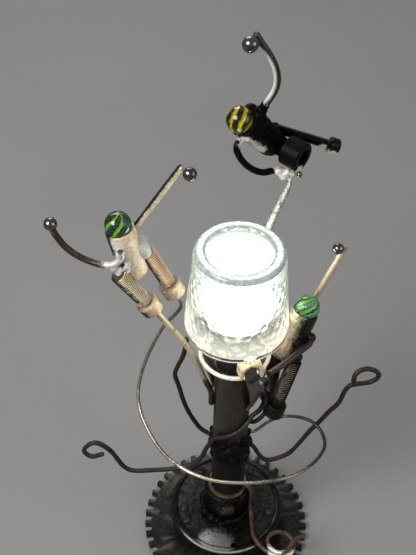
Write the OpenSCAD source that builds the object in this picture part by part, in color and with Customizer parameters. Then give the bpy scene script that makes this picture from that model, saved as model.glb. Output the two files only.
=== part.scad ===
// Moon lamp: a table lamp welded up from scrap steel.
// A chain sprocket and a drum carry a steel post. The post holds a lamp cup, an upturned glass
// tumbler over a globe bulb, three one-eyed figures and a set of bent wire tendrils.
// Millimetres, +Z up, origin at the centre of the sprocket's underside.

/* [Base] */
// teeth on the chain sprocket
sprocket_teeth = 42; // [36:1:48]
// chain pitch of the sprocket
chain_pitch = 9.525; // [8:0.025:12.7]
// thickness of the sprocket plate
sprocket_t = 5.5; // [4:0.5:8]
// outside diameter of the drum
drum_d = 89; // [84:1:94]
// height of the drum's lip above the table
drum_top = 32; // [28:1:36]
// wall of the drum
drum_wall = 2.4; // [1.8:0.2:3]
// diameter of the rivets through the drum
rivet_d = 4.4; // [4:0.2:5]
// diameter of the welded boss
boss_d = 35.5; // [34:0.5:37]
// height of the boss's top above the table
boss_top = 60; // [56:1:64]

/* [Post] */
// outside diameter of the post tube
post_d = 25.4; // [24:0.2:26]
// wall of the post tube
post_wall = 2; // [1.5:0.1:2.5]
// height of the post tube's top above the table
post_top = 204; // [196:1:220]

/* [Glass and lamp] */
// outside diameter of the glass's mouth, which faces down
glass_mouth_d = 65.8; // [62:0.2:66]
// outside diameter of the glass's foot, which faces up
glass_foot_d = 54.5; // [50:0.5:58]
// height of the glass
glass_h = 63; // [60:1:70]
// wall of the glass
glass_wall = 2.8; // [2:0.1:3.5]
// thickness of the glass's foot
glass_foot_t = 7; // [5:0.5:8]
// diameter of the bulb's globe
globe_d = 45; // [40:1:45]
// diameter of the lamp cup's rim
cup_d = 47.6; // [44:0.2:48]

/* [Figures] */
// diameter of the glass marbles
marble_d = 16; // [15:0.5:16.5]
// wall of the figures' body tubes
body_wall = 1.6; // [1.2:0.1:2]
// length of the body tubes from mouth to rounded end
body_len = 38.5; // [37:0.5:40]
// thickness of the arm and support rods
rod_d = 4; // [3.2:0.2:4]
// thickness of the bent tendrils
tendril_d = 3.4; // [3:0.2:3.4]
// thickness of the orbit wire
orbit_d = 2.4; // [2:0.2:3]
// thread diameter of the leg screws
leg_d = 9.5; // [8:0.5:9.5]
// thread pitch of the leg screws
leg_pitch = 1.6; // [1.4:0.1:1.8]

/* [Hidden] */
$fn = 48;
// clearance between two pieces that touch
gap = 0.05;
// everything above the weld band rises with the post
lift = post_top - 204;
pitch_r = chain_pitch / 2 / sin(180 / sprocket_teeth);
tip_r = chain_pitch * (0.6 + 1 / tan(180 / sprocket_teeth)) / 2;
seat_r = chain_pitch * 0.335;
drum_r = drum_d / 2;
drum_face = drum_top - 1;
post_r = post_d / 2;
boss_r = boss_d / 2;
// rivets: angle, and distance in from the drum's side
rivet_at = [for (p = [[190, 10.4], [208, 9.4], [-13, 9.1], [55, 9.3], [125, 9.3]])
    (drum_r - p[1]) * [cos(p[0]), sin(p[0])]];
drum_hole = (drum_r - 6.6) * [cos(-82), sin(-82)];
grommet_z = sprocket_t + 11;

cap_top = post_top + 2;
cup_floor = cap_top + gap;
cup_rim = cap_top + 13;
cup_r = cup_d / 2;
holder_z = cup_floor + 1.6 + gap;
holder_top = holder_z + 28;
sleeve_z = holder_z + 6.5;
contact_z = sleeve_z - 3;
tip_z = sleeve_z - 1.9;
cap_z = sleeve_z + 0.3;
collar_z = holder_top + 0.6;
globe_z = collar_z + 13 + globe_d / 2 - 4.5;
mouth_z = cap_top + 39;
mouth_r = glass_mouth_d / 2;
foot_r = glass_foot_d / 2;
foot_z = mouth_z + glass_h;

saddle_r = 7.5;
saddle_wall = 2.2;
saddle_z = mouth_z - gap - saddle_r;
saddle_mid = mouth_r - 1.6;
bracket_az = [-74, 40, 146];
bracket_w = 8;
bracket_t = 2;
// a rod's welded end stands this far off what it is welded to
weld_gap = 0.25;

rod_r = rod_d / 2;
tendril_r = tendril_d / 2;
orbit_r = orbit_d / 2;
marble_r = marble_d / 2;
body_in = marble_r - 0.8;
body_out = body_in + body_wall;
body_end = body_out + 0.6;
// the marble sits on the tube's mouth, this far above it
perch = sqrt(marble_r * marble_r - body_in * body_in) + 2 * gap;

function up(p) = [p[0], p[1], p[2] + lift];
function rise(route) = [for (p = route) up(p)];
function unit(v) = v / norm(v);
function ring(az, r, z) = [r * cos(az), r * sin(az), z];

// figures: marble centre, and the direction from the head to the rounded end
left_head = up([-70.5, 8, 318]);
left_dir = unit([9, 0.6, -41.2]);
right_head = up([45, 10, 250.5]);
right_dir = unit([-13.8, -10, -38.5]);
top_head = up([-2, 48, 364]);
top_dir = unit([25, 17, -29.5]);

// leg screws: start, direction, thread length
left_front_leg = [up([-71.3, -5.4, 291]), unit([17.5, 7.6, -34]), 33.5];
left_back_leg = [up([-55.8, 10, 298]), unit([40, 5, -91.5]), 33.5];
right_front_leg = [up([39.6, -2.8, 213.6]), unit([-11.3, -8.9, -42]), 38.5];
right_back_leg = [up([27, 2.8, 214.5]), unit([-2, 1, -100]), 38.5];
top_leg = [up([20.5, 63.2, 348.1]), unit([35.4, 0.8, -12.2]), 35];
top_boot = [up([21.6, 58.2, 340.3]), unit([14.4, -11.1, -1.4]), 7];
leg_head = [leg_d * 1.5, leg_d];
m6_head = [10, 6];
m12_head = [18, 12];

function leg_end(leg, head) = leg[0] + leg[1] * (leg[2] + head[1]);

// arm routes, from the body outwards
left_raised_route = rise([[-61, 16, 310.6], [-57.6, 15.4, 316.2], [-50.5, 14.2, 328.6],
    [-42.4, 12.7, 342.8], [-33.6, 11, 358.3]]);
left_low_route = rise([[-69, -3.1, 308], [-68.8, -3.3, 302.4], [-73, -4, 297.8], [-79, -2.4, 295.6],
    [-86, 0, 295.4], [-94, 2, 298], [-101.2, 3.4, 303.6], [-106, 4, 312], [-107.6, 4, 316.8]]);
right_raised_route = rise([[43.4, 11.1, 238.9], [48.5, 18, 243], [51.4, 20, 250.5], [54, 19.2, 261],
    [57.5, 18, 274.5], [60.6, 17, 286], [63.3, 16, 297]]);
right_low_route = rise([[49.1, 2.4, 230.2], [47.2, -3.7, 231], [43, -8.6, 231.8], [38.4, -13.2, 232],
    [29, -21.6, 231], [22.6, -25.4, 229.4], [20.2, -26.7, 228.8]]);
top_raised_route = rise([[7.8, 51.9, 361.3], [10, 50.6, 368], [13, 49, 375], [16.8, 47.5, 384],
    [17.5, 46.5, 392], [15.6, 46, 399.5], [12.3, 46, 406], [7.6, 46, 413], [3.8, 46, 418.8]]);
top_low_route = rise([[1, 46.9, 353.9], [-2.6, 41.8, 352.4], [-3, 41, 347], [1, 41.5, 339],
    [7, 42.5, 333], [13, 43.8, 330], [17, 45, 330], [19.1, 45.7, 330.1]]);

// hands: ball centre and diameter
left_hands = [[up([-29.2, 8.2, 355]), 8], [up([-108.3, 4, 320.9]), 8]];
right_hands = [[up([58.7, 12.9, 298.2]), 7], [up([17.1, -28.4, 228.1]), 7]];
top_hands = [[up([1.4, 40.4, 415.2]), 9], [up([34.9, 44.8, 328.4]), 3.8]];

// support rods
left_foot = leg_end(left_front_leg, leg_head);
left_support_route = concat([left_foot + left_front_leg[1] * 2 * weld_gap,
    left_foot + left_front_leg[1] * 4], rise([[-43, 1, 241], [-35.5, -1, 231.5], [-29, -2.6, 221],
    [-23.8, -3.4, 207], [-19.6, -3.7, 194]]), [ring(193, post_r + rod_r + 1, 182 + lift),
    ring(193, post_r + rod_r + 2 * gap, 174 + lift), ring(193, post_r + rod_r + 2 * gap, 166 + lift)]);
right_back_foot = leg_end(right_back_leg, leg_head);
right_support_route = [right_back_foot + [0.8, -2.6, -weld_gap], right_back_foot + [0.2, -3.2, -3.6],
    up([22.5, -3.2, 154]), ring(-14, post_r + 4.6, 147 + lift), ring(-14, post_r + weld_gap, 146 + lift)];
top_support_route = concat(rise([[30, 46.9, 323.7], [29.6, 46.9, 319.5], [27.3, 47, 310.7],
    [23.3, 47, 298.7], [20.2, 47, 288], [16, 46, 272], [11.5, 42, 250], [8, 34, 228], [5, 24, 208]]),
    [ring(80, post_r + 4.5, 198 + lift), ring(80, post_r + weld_gap, 197 + lift)]);

// the rod from the right figure's boot wraps the post and runs out to an eye on the left
wrap_r = post_r + tendril_r + 0.15;
right_tail_route = concat([right_back_foot + [-2.4, -1, -weld_gap],
    right_back_foot + [-3.1, -1.6, -3]], rise([[19.6, -2.6, 158.6]]),
    [ring(-20, wrap_r + 0.8, 155.2 + lift), ring(-42, wrap_r, 152.2 + lift),
    ring(-66, wrap_r, 148.6 + lift), ring(-90, wrap_r, 144.6 + lift), ring(-115, wrap_r, 140 + lift),
    ring(-140, wrap_r + 0.6, 133.5 + lift)], rise([[-17.2, -10.5, 122], [-21, -12, 111.5],
    [-29, -13, 103], [-38.5, -14, 100.5], [-54, -15, 99.5], [-70, -16, 99.5], [-77, -16, 104.5],
    [-81.5, -17, 117], [-86, -17.5, 128.5], [-95.5, -18, 138], [-104, -19, 130], [-99, -20.5, 124],
    [-89.6, -22, 130]]));

orbit_foot = leg_end(left_back_leg, leg_head);
orbit_route = concat([orbit_foot + left_back_leg[1] * weld_gap, orbit_foot + left_back_leg[1] * 4],
    rise([[-35, 15, 246], [-37.5, 19, 234.5], [-46, 20, 221], [-52.5, 16, 210], [-59.5, 10, 195],
    [-63.5, 3, 182.5], [-64.5, -5, 173], [-61, -16, 165.5], [-53.5, -28, 158.5], [-45, -37, 153],
    [-34.5, -44, 149.5], [-22.5, -50, 148.5], [-6.5, -54, 148], [15.5, -55, 149.5], [30, -53, 150],
    [43.5, -47, 148], [55.5, -37, 146], [63, -27, 146], [65.5, -17, 143.5], [62.5, -8, 145],
    [56, -2, 146.5], [46.5, 2, 145.5], [37, 4, 142.5], [27.5, 4, 136]]),
    [ring(6, post_r + 6, 127.5 + lift), ring(6, post_r + weld_gap, 126 + lift)]);

right_tendril_route = concat([ring(12, post_r + weld_gap, 108 + lift),
    ring(12, post_r + 5, 106.5 + lift)], rise([[25, 3, 91], [32.5, 3, 88.5], [45, 4, 95.5],
    [52, 4, 110], [58, 5, 123], [64, 5, 135], [70, 5, 148.5], [75.5, 5, 158.5], [77.8, 5, 171],
    [80.5, 5, 178], [85.5, 5.5, 179.5], [94, 6, 181], [99, 6, 186], [98, 6, 191.8], [91.5, 5, 196.5],
    [85.8, 3.5, 197], [81.6, 1.5, 193.5], [81.6, -0.5, 186]]));

back_tendril_route = concat([ring(155, post_r + weld_gap, 114.6 + lift),
    ring(155, post_r + 5, 115.5 + lift)], rise([[-23.5, 10, 120.5], [-32.5, 14, 138], [-38, 18, 159],
    [-40.5, 20, 168.5], [-38, 22, 176], [-34.7, 24, 183.7], [-33, 26, 191], [-32, 29, 198]]));

front_tendril_route = concat([ring(-25, post_r + weld_gap, boss_top + 7.4),
    ring(-25, post_r + 4, boss_top + 7.6), ring(-25, boss_r + 2.4, boss_top + 3.4),
    ring(-26, boss_r + 3, boss_top - 5), ring(-28, boss_r + 3.2, boss_top - 15)],
    [[19.2, -13, drum_top + 6.5], [19.6, -21, drum_top + 4], [20.4, -31, drum_top + 4],
    [24.5, -38.5, drum_top + 4], [31.5, -45.5, drum_top + 4.4], [41, -50, drum_top + 5],
    [49, -46.5, drum_top + 5.5], [51.5, -39.5, drum_top + 6], [48, -32.5, drum_top + 6.5],
    [41, -30, drum_top + 7.2], [33.5, -33, drum_top + 8], [31, -40, drum_top + 9],
    [34.6, -46.8, drum_top + 10], [42, -49, drum_top + 10.5], [48.5, -43, drum_top + 10.5],
    [53.5, -36.5, drum_top + 10], [60, -34.5, drum_top + 9.5]]);

// a point on the smooth curve through the route, between points i and i + 1
function between(p, i, t) = let (a = p[max(i - 1, 0)], b = p[i], c = p[i + 1],
    d = p[min(i + 2, len(p) - 1)]) 0.5 * (2 * b + (c - a) * t + (2 * a - 5 * b + 4 * c - d) * t * t
    + (3 * b - a - 3 * c + d) * t * t * t);
function smooth(p, k) = concat([for (i = [0:len(p) - 2]) for (j = [0:k - 1]) between(p, i, j / k)],
    [p[len(p) - 1]]);
function heading(q, i) = unit(q[min(i + 1, len(q) - 1)] - q[max(i - 1, 0)]);
function first_normal(t) = unit(cross(t, abs(t[2]) < 0.9 ? [0, 0, 1] : [1, 0, 0]));
function normals(q, i, n) = i >= len(q) ? [] :
    let (t = heading(q, i), m = unit(n - (n * t) * t)) concat([m], normals(q, i + 1, m));

// closed skin over a row of rings with n points each
module skin(points, n) {
    rings = len(points) / n;
    faces = concat([[for (s = [n - 1:-1:0]) s]], [for (i = [0:rings - 2])
        for (s = [0:n - 1]) [i * n + s, i * n + (s + 1) % n, (i + 1) * n + s]],
        [for (i = [0:rings - 2]) for (s = [0:n - 1]) [i * n + (s + 1) % n, (i + 1) * n + (s + 1) % n,
        (i + 1) * n + s]], [[for (s = [0:n - 1]) (rings - 1) * n + s]]);
    polyhedron(points = points, faces = [for (f = faces) [for (k = [len(f) - 1:-1:0]) f[k]]]);
}

// round wire along a route, its radius running from r0 over r1 to r2
module wire(route, r0, r1, r2, k = 3, sides = 8) {
    q = smooth(route, k);
    m = normals(q, 0, first_normal(heading(q, 0)));
    last = len(q) - 1;
    skin([for (i = [0:last]) let (t = heading(q, i), b = cross(t, m[i]), f = i / last,
        r = f < 0.4 ? r0 + (r1 - r0) * f / 0.4 : r1 + (r2 - r1) * (f - 0.4) / 0.6)
        for (s = [0:sides - 1]) q[i] + r * (cos(360 * s / sides) * m[i] + sin(360 * s / sides) * b)],
        sides);
}

// flat strip along a route, its broad face turned to the lamp's axis
module strip(route, w, t, k = 4) {
    q = smooth(route, k);
    skin([for (i = [0:len(q) - 1]) let (h = heading(q, i), out = unit([q[i][0], q[i][1], 0]),
        side = unit(cross(out, h)), n = cross(h, side)) for (c = [[-w, -t], [w, -t], [w, t], [-w, t]])
        q[i] + side * c[0] / 2 + n * c[1] / 2], 4);
}

module along(p, d) {
    translate(p) rotate([0, acos(d[2] / norm(d)), atan2(d[1], d[0])]) children();
}

// cleared room for a rod's straight start
module rod_room(route, r, back, ahead) {
    d = unit(route[1] - route[0]);
    along(route[0] - d * back, d) cylinder(r = r, h = norm(route[1] - route[0]) + back + ahead);
}

module leg_room(leg, r) {
    along(leg[0] - leg[1] * 0.1, leg[1]) cylinder(r = r, h = leg[2] + 0.1);
}

module screw(leg, d, pitch, head, socket = 0) {
    turns = floor((leg[2] - 0.6) / pitch);
    root = d / 2 - pitch * 0.6;
    along(leg[0], leg[1]) {
        difference() {
            union() {
                rotate_extrude() polygon(concat([[0, 0], [root, 0]],
                    [for (i = [0:turns - 1]) for (s = [0, 1]) [s == 0 ? root : d / 2,
                    0.3 + (i + s / 2) * pitch]], [[root, 0.3 + turns * pitch], [root, leg[2] + 0.5],
                    [0, leg[2] + 0.5]]));
                translate([0, 0, leg[2]]) cylinder(d1 = head[0] - 0.4, d2 = head[0], h = 0.4);
                translate([0, 0, leg[2] + 0.4]) cylinder(d = head[0], h = head[1] - 1.2);
                translate([0, 0, leg[2] + head[1] - 0.8])
                    cylinder(d1 = head[0], d2 = head[0] - 1.4, h = 0.8);
            }
            if (socket > 0) translate([0, 0, leg[2] + head[1] * 0.5])
                cylinder(d = socket / cos(30), h = head[1], $fn = 6);
        }
    }
}

// a tube with one rounded end, weld lumps, and room for the legs and arms that enter it
module figure_body(head, dir, lumps, legs, arms) {
    straight = body_len - body_end;
    difference() {
        union() {
            along(head + dir * perch, dir) cylinder(r1 = body_out, r2 = body_end, h = straight);
            along(head + dir * (perch + straight), dir) sphere(r = body_end);
            for (l = lumps) translate(l[0]) sphere(r = l[1]);
        }
        along(head + dir * (perch - 1), dir) cylinder(r = body_in, h = straight + 1);
        along(head + dir * (perch + straight), dir) sphere(r = body_in);
        for (l = legs) leg_room(l, l[3] / 2 + gap);
        for (a = arms) rod_room(a, rod_r + weld_gap, 4, 1);
    }
}

module balls(list) {
    for (b = list) translate(b[0]) sphere(d = b[1]);
}

module base_sprocket() {
    color("#77716a")
    difference() {
        linear_extrude(sprocket_t) polygon([for (i = [0:sprocket_teeth - 1]) for (s = [0:6])
            let (a = i * 360 / sprocket_teeth, half = 180 / sprocket_teeth, b = 180 + 56 - (s - 1) * 28)
            s == 0 ? tip_r * [cos(a - half * 0.62), sin(a - half * 0.62)]
            : s == 6 ? tip_r * [cos(a + half * 0.62), sin(a + half * 0.62)]
            : pitch_r * [cos(a), sin(a)] + seat_r * [cos(a + b), sin(a + b)]]);
        translate([0, 0, -1]) cylinder(d = 18, h = sprocket_t + 2);
        for (p = rivet_at) translate([p[0], p[1], -1])
            cylinder(d = rivet_d + 2 * gap, h = sprocket_t + 2);
    }
}

module drum_housing() {
    z0 = sprocket_t + gap;
    color("#8d8a86")
    difference() {
        rotate_extrude() polygon([[0, z0], [drum_r - 3, z0], [drum_r - 3, z0 + 3], [drum_r - 1, z0 + 6],
            [drum_r, drum_top - 8], [drum_r, drum_top - 4], [drum_r - 0.5, drum_top - 1.9],
            [drum_r - 1.8, drum_top - 0.5], [drum_r - 3.4, drum_top], [drum_r - 4.6, drum_top - 0.3],
            [drum_r - 5.4, drum_face], [0, drum_face]]);
        translate([0, 0, z0 - 1]) cylinder(r = drum_r - 3 - drum_wall,
            h = drum_face - drum_wall - z0 + 1);
        translate([0, 0, drum_face - drum_wall - 1]) cylinder(r = post_r + gap, h = drum_wall + 4);
        translate([drum_hole[0], drum_hole[1], drum_face - drum_wall - 1])
            cylinder(d = 4.2, h = drum_wall + 4);
        for (p = rivet_at) translate([p[0], p[1], drum_face - drum_wall - 1])
            cylinder(d = rivet_d + 2 * gap, h = drum_wall + 4);
        translate([0, drum_r - 12, grommet_z]) rotate([-90, 0, 0]) cylinder(d = 10 + 2 * gap, h = 20);
    }
}

module drum_rivets() {
    color("#6f6a64")
    for (p = rivet_at) translate([p[0], p[1], 0]) {
        translate([0, 0, 0.4]) cylinder(d = rivet_d, h = drum_face + 0.2);
        translate([0, 0, drum_face + gap]) cylinder(d1 = rivet_d + 2.2, d2 = rivet_d + 1.8, h = 0.8);
        translate([0, 0, drum_face + gap + 0.8]) cylinder(d1 = rivet_d + 1.8, d2 = rivet_d - 0.8,
            h = 0.9);
    }
}

module post_boss() {
    color("#2e2a27")
    difference() {
        union() {
            translate([0, 0, drum_face + gap]) cylinder(r = boss_r, h = boss_top - drum_face - gap - 1.5);
            translate([0, 0, boss_top - 1.5]) cylinder(r1 = boss_r, r2 = boss_r - 1.5, h = 1.5);
            translate([-5.5, -boss_r - 1.2, drum_face + 8]) cube([11, 6, 13]);
        }
        translate([0, 0, drum_face - 1]) cylinder(r = post_r + gap, h = boss_top);
    }
}

module boss_weld() {
    color("#3a332d")
    difference() {
        union() {
            rotate_extrude() translate([boss_r + 0.2, drum_face + 0.4]) circle(r = 3.2);
            for (i = [0:8]) rotate(i * 40 + 11 * sin(i * 97))
                translate([boss_r + 0.4, 0, drum_face + 0.9]) sphere(r = 4.2 + 0.6 * sin(i * 131));
        }
        translate([0, 0, drum_face - 10 + gap]) cylinder(r = boss_r + 12, h = 10);
        translate([0, 0, drum_face - 1]) cylinder(r = boss_r + gap, h = 20);
    }
}

module boss_collar() {
    color("#7d6a55")
    translate([0, 0, boss_top + gap]) difference() {
        union() {
            cylinder(r = post_r + 2.4, h = 2);
            translate([0, 0, 2]) cylinder(r1 = post_r + 2.4, r2 = post_r + 1.6, h = 1);
        }
        translate([0, 0, -1]) cylinder(r = post_r + gap, h = 6);
    }
}

module post_tube() {
    color("#77736c")
    difference() {
        translate([0, 0, sprocket_t + gap]) cylinder(r = post_r, h = post_top - sprocket_t - gap);
        translate([0, 0, sprocket_t - 1]) cylinder(r = post_r - post_wall, h = post_top);
        translate([0, 0, sprocket_t + 6.5]) rotate([-90, 0, 0]) cylinder(d = 11, h = post_d);
    }
}

module post_weld() {
    z = 117 + lift;
    color("#3b342f")
    difference() {
        union() {
            translate([0, 0, z]) rotate_extrude() polygon([[post_r, -8], [post_r + 1, -7.4],
                [post_r + 2.2, -4], [post_r + 1.8, -1], [post_r + 2.6, 3], [post_r + 1.4, 7],
                [post_r, 8]]);
            for (i = [0:7]) rotate(i * 45 + 14 * sin(i * 97))
                translate([post_r - 1.6, 0, z + 5 * sin(i * 131)]) sphere(r = 5.6 + 0.6 * sin(i * 71));
        }
        translate([0, 0, z - 30]) cylinder(r = post_r + gap, h = 60);
        rod_room([orbit_route[len(orbit_route) - 1], orbit_route[len(orbit_route) - 2]],
            orbit_r + 2 * gap, 2, 4);
        rod_room(right_tendril_route, tendril_r + 2 * gap, 2, 2);
        rod_room(back_tendril_route, tendril_r + 2 * gap, 2, 2);
    }
}

module cable_grommet() {
    color("#1d1c1b")
    translate([0, 0, grommet_z]) rotate([-90, 0, 0]) difference() {
        union() {
            translate([0, 0, drum_r - 3 - drum_wall - 2]) cylinder(d = 10, h = drum_wall + 7);
            translate([0, 0, drum_r + gap]) cylinder(d1 = 14, d2 = 12, h = 2.4);
        }
        translate([0, 0, drum_r - 15]) cylinder(d = 6.6, h = 30);
    }
}

module terminal_block() {
    color("#d8d2c4")
    difference() {
        translate([-8, 20, sprocket_t + gap]) cube([16, 11, 10]);
        for (x = [-3.5, 3.5]) translate([x, 15, sprocket_t + 5.5]) rotate([-90, 0, 0])
            cylinder(d = 2.6, h = 22);
        for (x = [-3.5, 3.5]) for (y = [23, 28]) translate([x, y, sprocket_t + 5.5])
            cylinder(d = 3 + 2 * gap, h = 12);
    }
}

module terminal_screws() {
    color("#b9a15a")
    for (x = [-3.5, 3.5]) for (y = [23, 28]) translate([x, y, sprocket_t + 6.9]) cylinder(d = 3, h = 3);
}

// two insulated leads from the lamp holder down the post to the terminal block
module lamp_leads() {
    color("#a03020") for (x = [-1.5, 1.5]) wire([[x, 0, contact_z - 0.6], [x, 0, contact_z - 6],
        [x, 0, post_top - 30], [x, 0, 60], [x, 0, 24], [x * 1.1, 2, sprocket_t + 9],
        [x * 1.6, 8, sprocket_t + 5.6], [x * 7 / 3, 16, sprocket_t + 5.5],
        [x * 7 / 3, 22, sprocket_t + 5.5]], 0.9, 0.9, 0.9);
}

module post_cap() {
    color("#8a8680")
    difference() {
        union() {
            translate([0, 0, post_top + gap]) cylinder(r = post_r, h = cap_top - post_top - gap);
            translate([0, 0, post_top - 8]) cylinder(r = post_r - post_wall - gap, h = 9);
        }
        translate([0, 0, post_top - 9]) cylinder(d = 10 + 2 * gap, h = 20);
    }
}

module cap_nut() {
    color("#a59a6a")
    translate([0, 0, post_top - 12]) difference() {
        cylinder(d = 16, h = 4 - gap, $fn = 6);
        translate([0, 0, -1]) cylinder(d = 10 + 2 * gap, h = 6);
    }
}

module threaded_nipple() {
    color("#b7a86f")
    translate([0, 0, post_top - 14]) difference() {
        cylinder(d = 10, h = holder_z + 2.2 - post_top + 14);
        translate([0, 0, -1]) cylinder(d = 7, h = 40);
    }
}

module lamp_cup() {
    h = cup_rim - cup_floor;
    color("#cfd0c2")
    difference() {
        translate([0, 0, cup_floor]) rotate_extrude()
            polygon([[0, 0], [13.4, 0], [14.6, 0.6], [cup_r - 2.2, h - 3], [cup_r - 0.6, h - 2.7],
            [cup_r, h - 1.6], [cup_r - 0.3, h - 0.5], [cup_r - 1.4, h], [cup_r - 2.4, h - 0.5],
            [cup_r - 3.4, h - 2.4], [13.8, 2.2], [13, 1.6], [0, 1.6]]);
        translate([0, 0, cup_floor - 1]) cylinder(d = 10 + 2 * gap, h = 4);
    }
}

module holder_body() {
    color("#24211f")
    difference() {
        union() {
            translate([0, 0, holder_z]) cylinder(d = 24, h = 6);
            translate([0, 0, holder_z + 6]) cylinder(d1 = 24, d2 = 28, h = 3);
            translate([0, 0, holder_z + 9]) cylinder(d = 28, h = holder_top - holder_z - 10.5);
            translate([0, 0, holder_top - 1.5]) cylinder(d1 = 28, d2 = 25, h = 1.5);
        }
        translate([0, 0, holder_z - 1]) cylinder(d = 10 + 2 * gap, h = 5);
        translate([0, 0, contact_z - 1.2]) cylinder(d = 15, h = 5);
        translate([0, 0, sleeve_z]) cylinder(d = 16.4 + 2 * gap, h = 40);
    }
}

module holder_sleeve() {
    color("#c2a558")
    translate([0, 0, sleeve_z + gap]) difference() {
        cylinder(d = 16.4, h = holder_top - sleeve_z - 1);
        translate([0, 0, -1]) cylinder(d = 14.3, h = 40);
    }
}

module holder_contact() {
    color("#c2a558")
    difference() {
        translate([-1.6, -6, contact_z - 1.15]) cube([3.2, 12, 1.1]);
        for (x = [-1.5, 1.5]) translate([x, 0, contact_z - 2]) cylinder(d = 2, h = 1.5);
    }
}

module bulb_tip() {
    color("#b8b4aa")
    translate([0, 0, tip_z - 1]) cylinder(d1 = 4, d2 = 7, h = cap_z - tip_z + 1 - gap);
}

module bulb_cap() {
    h = holder_top - cap_z + 0.4;
    turns = floor((h - 5) / 2.82);
    color("#c9c8c2")
    translate([0, 0, cap_z]) rotate_extrude() polygon(concat([[0, 0], [4.4, 0], [6.1, 1.4]],
        [for (i = [0:turns - 1]) for (s = [0, 1]) [s == 0 ? 6.1 : 6.95, 1.8 + (i + s / 2) * 2.82]],
        [[6.1, 1.8 + turns * 2.82], [6.6, h - 1], [6.6, h], [0, h]]));
}

module bulb_collar() {
    color("#eceae2") translate([0, 0, collar_z - gap * 2]) rotate_extrude()
        polygon([[0, 0], [8.4, 0], [9.4, 1.5], [12.6, 8], [14, 13], [13.4, 13], [0, 13]]);
}

module bulb_globe() {
    color("#fbf8ec")
    difference() {
        translate([0, 0, globe_z]) sphere(d = globe_d, $fn = 96);
        translate([0, 0, collar_z - 40 + 13]) cylinder(r = 40, h = 40);
        translate([0, 0, globe_z]) sphere(d = globe_d - 3, $fn = 96);
    }
}

// the tumbler stands upside down: drinking rim below, thick foot above
module glass_shade() {
    taper = (mouth_r - foot_r) / (glass_h - 6);
    color("#dfe9e4") rotate_extrude($fn = 96) polygon([[mouth_r - glass_wall + 0.6, mouth_z],
        [mouth_r - 0.7, mouth_z], [mouth_r, mouth_z + 0.8], [mouth_r - 0.1, mouth_z + 4],
        [foot_r + 2 * taper, foot_z - 5], [foot_r, foot_z - 3.2], [foot_r - 0.5, foot_z - 1.8],
        [foot_r - 1.4, foot_z - 0.7], [foot_r - 2.8, foot_z], [foot_r - 5, foot_z],
        [foot_r - 7, foot_z - 0.8], [0, foot_z - 1.4], [0, foot_z - glass_foot_t],
        [foot_r - glass_wall - 3, foot_z - glass_foot_t],
        [foot_r - glass_wall - 0.6, foot_z - glass_foot_t - 2.4],
        [mouth_r - glass_wall - 0.1, mouth_z + 4], [mouth_r - glass_wall, mouth_z + 0.7]]);
}

// the strip's corners touch the inside of the arch
bracket_top = saddle_z + sqrt(pow(saddle_r - saddle_wall, 2) - pow(bracket_w / 2, 2)) - gap * 2;
function bracket_head(az) = [ring(az, saddle_mid - 1, 236 + lift), ring(az, saddle_mid - 1, bracket_top)];
function bracket_foot(az, z) = [ring(az, post_r + bracket_t / 2 + weld_gap, z),
    ring(az, post_r + bracket_t / 2 + 2 * weld_gap, z + 4)];
function bracket_route(az) = concat(bracket_foot(az, 174 + lift),
    [ring(az, post_r + 4.6, 186 + lift), ring(az, post_r + 10.5, 199 + lift),
    ring(az, post_r + 14.6, 212 + lift), ring(az, saddle_mid - 2.4, 226 + lift)], bracket_head(az));
front_route = concat(bracket_foot(-28, 167 + lift), rise([[14.9, -10.8, 180], [14.4, -17.5, 191],
    [13.2, -24, 208], [10, -28.2, 225]]), bracket_head(bracket_az[0]));

module bracket_front() {
    color("#6d675f") strip(front_route, bracket_w, bracket_t);
}

module bracket_right() {
    color("#6d675f") strip(bracket_route(bracket_az[1]), bracket_w, bracket_t);
}

module bracket_left() {
    color("#6d675f") strip(bracket_route(bracket_az[2]), bracket_w, bracket_t);
}

// half a tube, laid across the bracket's end so that the glass's rim rests on its crown
module saddle(az) {
    rotate(az) translate([saddle_mid - 4, 0, saddle_z]) difference() {
        union() {
            rotate([0, 90, 0]) cylinder(r = saddle_r, h = 8);
            translate([0, -saddle_r, -5]) cube([8, 2 * saddle_r, 5]);
        }
        translate([-1, 0, 0]) rotate([0, 90, 0]) cylinder(r = saddle_r - saddle_wall, h = 10);
        translate([-1, -saddle_r + saddle_wall, -12]) cube([10, 2 * (saddle_r - saddle_wall), 12]);
        translate([-1, -saddle_r - 1, -17]) cube([10, 2 * saddle_r + 2, 12]);
    }
}

module saddle_front() {
    color("#b39a78") saddle(bracket_az[0]);
}

module saddle_right() {
    color("#b39a78") saddle(bracket_az[1]);
}

module saddle_left() {
    color("#b39a78") saddle(bracket_az[2]);
}

module left_figure_body() {
    color("#a39486") figure_body(left_head, left_dir,
        [[up([-58, 9.2, 300]), 6], [up([-69.5, -1.2, 291]), 5]],
        [concat(left_front_leg, [leg_d]), concat(left_back_leg, [leg_d])], []);
}

module left_figure_marble() {
    color("#1f5b48") translate(left_head) sphere(r = marble_r);
}

module left_figure_raised_arm() {
    color("#b8a68c") wire(left_raised_route, rod_r, rod_r, rod_r);
}

module left_figure_low_arm() {
    color("#8b7a68") wire(left_low_route, rod_r, rod_r, rod_r);
}

module left_figure_hands() {
    color("#8f8d8a") balls(left_hands);
}

module left_figure_front_leg() {
    color("#b4a488") screw(left_front_leg, leg_d, leg_pitch, leg_head);
}

module left_figure_back_leg() {
    color("#c0a283") screw(left_back_leg, leg_d, leg_pitch, leg_head);
}

module left_figure_support() {
    color("#8a7c6a") wire(left_support_route, rod_r, rod_r, rod_r);
}

module right_figure_body() {
    color("#6f675e") figure_body(right_head, right_dir,
        [[up([38.2, -2, 215]), 5], [up([28.6, 2.6, 215.5]), 5]],
        [concat(right_front_leg, [leg_d]), concat(right_back_leg, [leg_d])], [right_raised_route]);
}

module right_figure_marble() {
    color("#4f9a7c") translate(right_head) sphere(r = marble_r);
}

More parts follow.
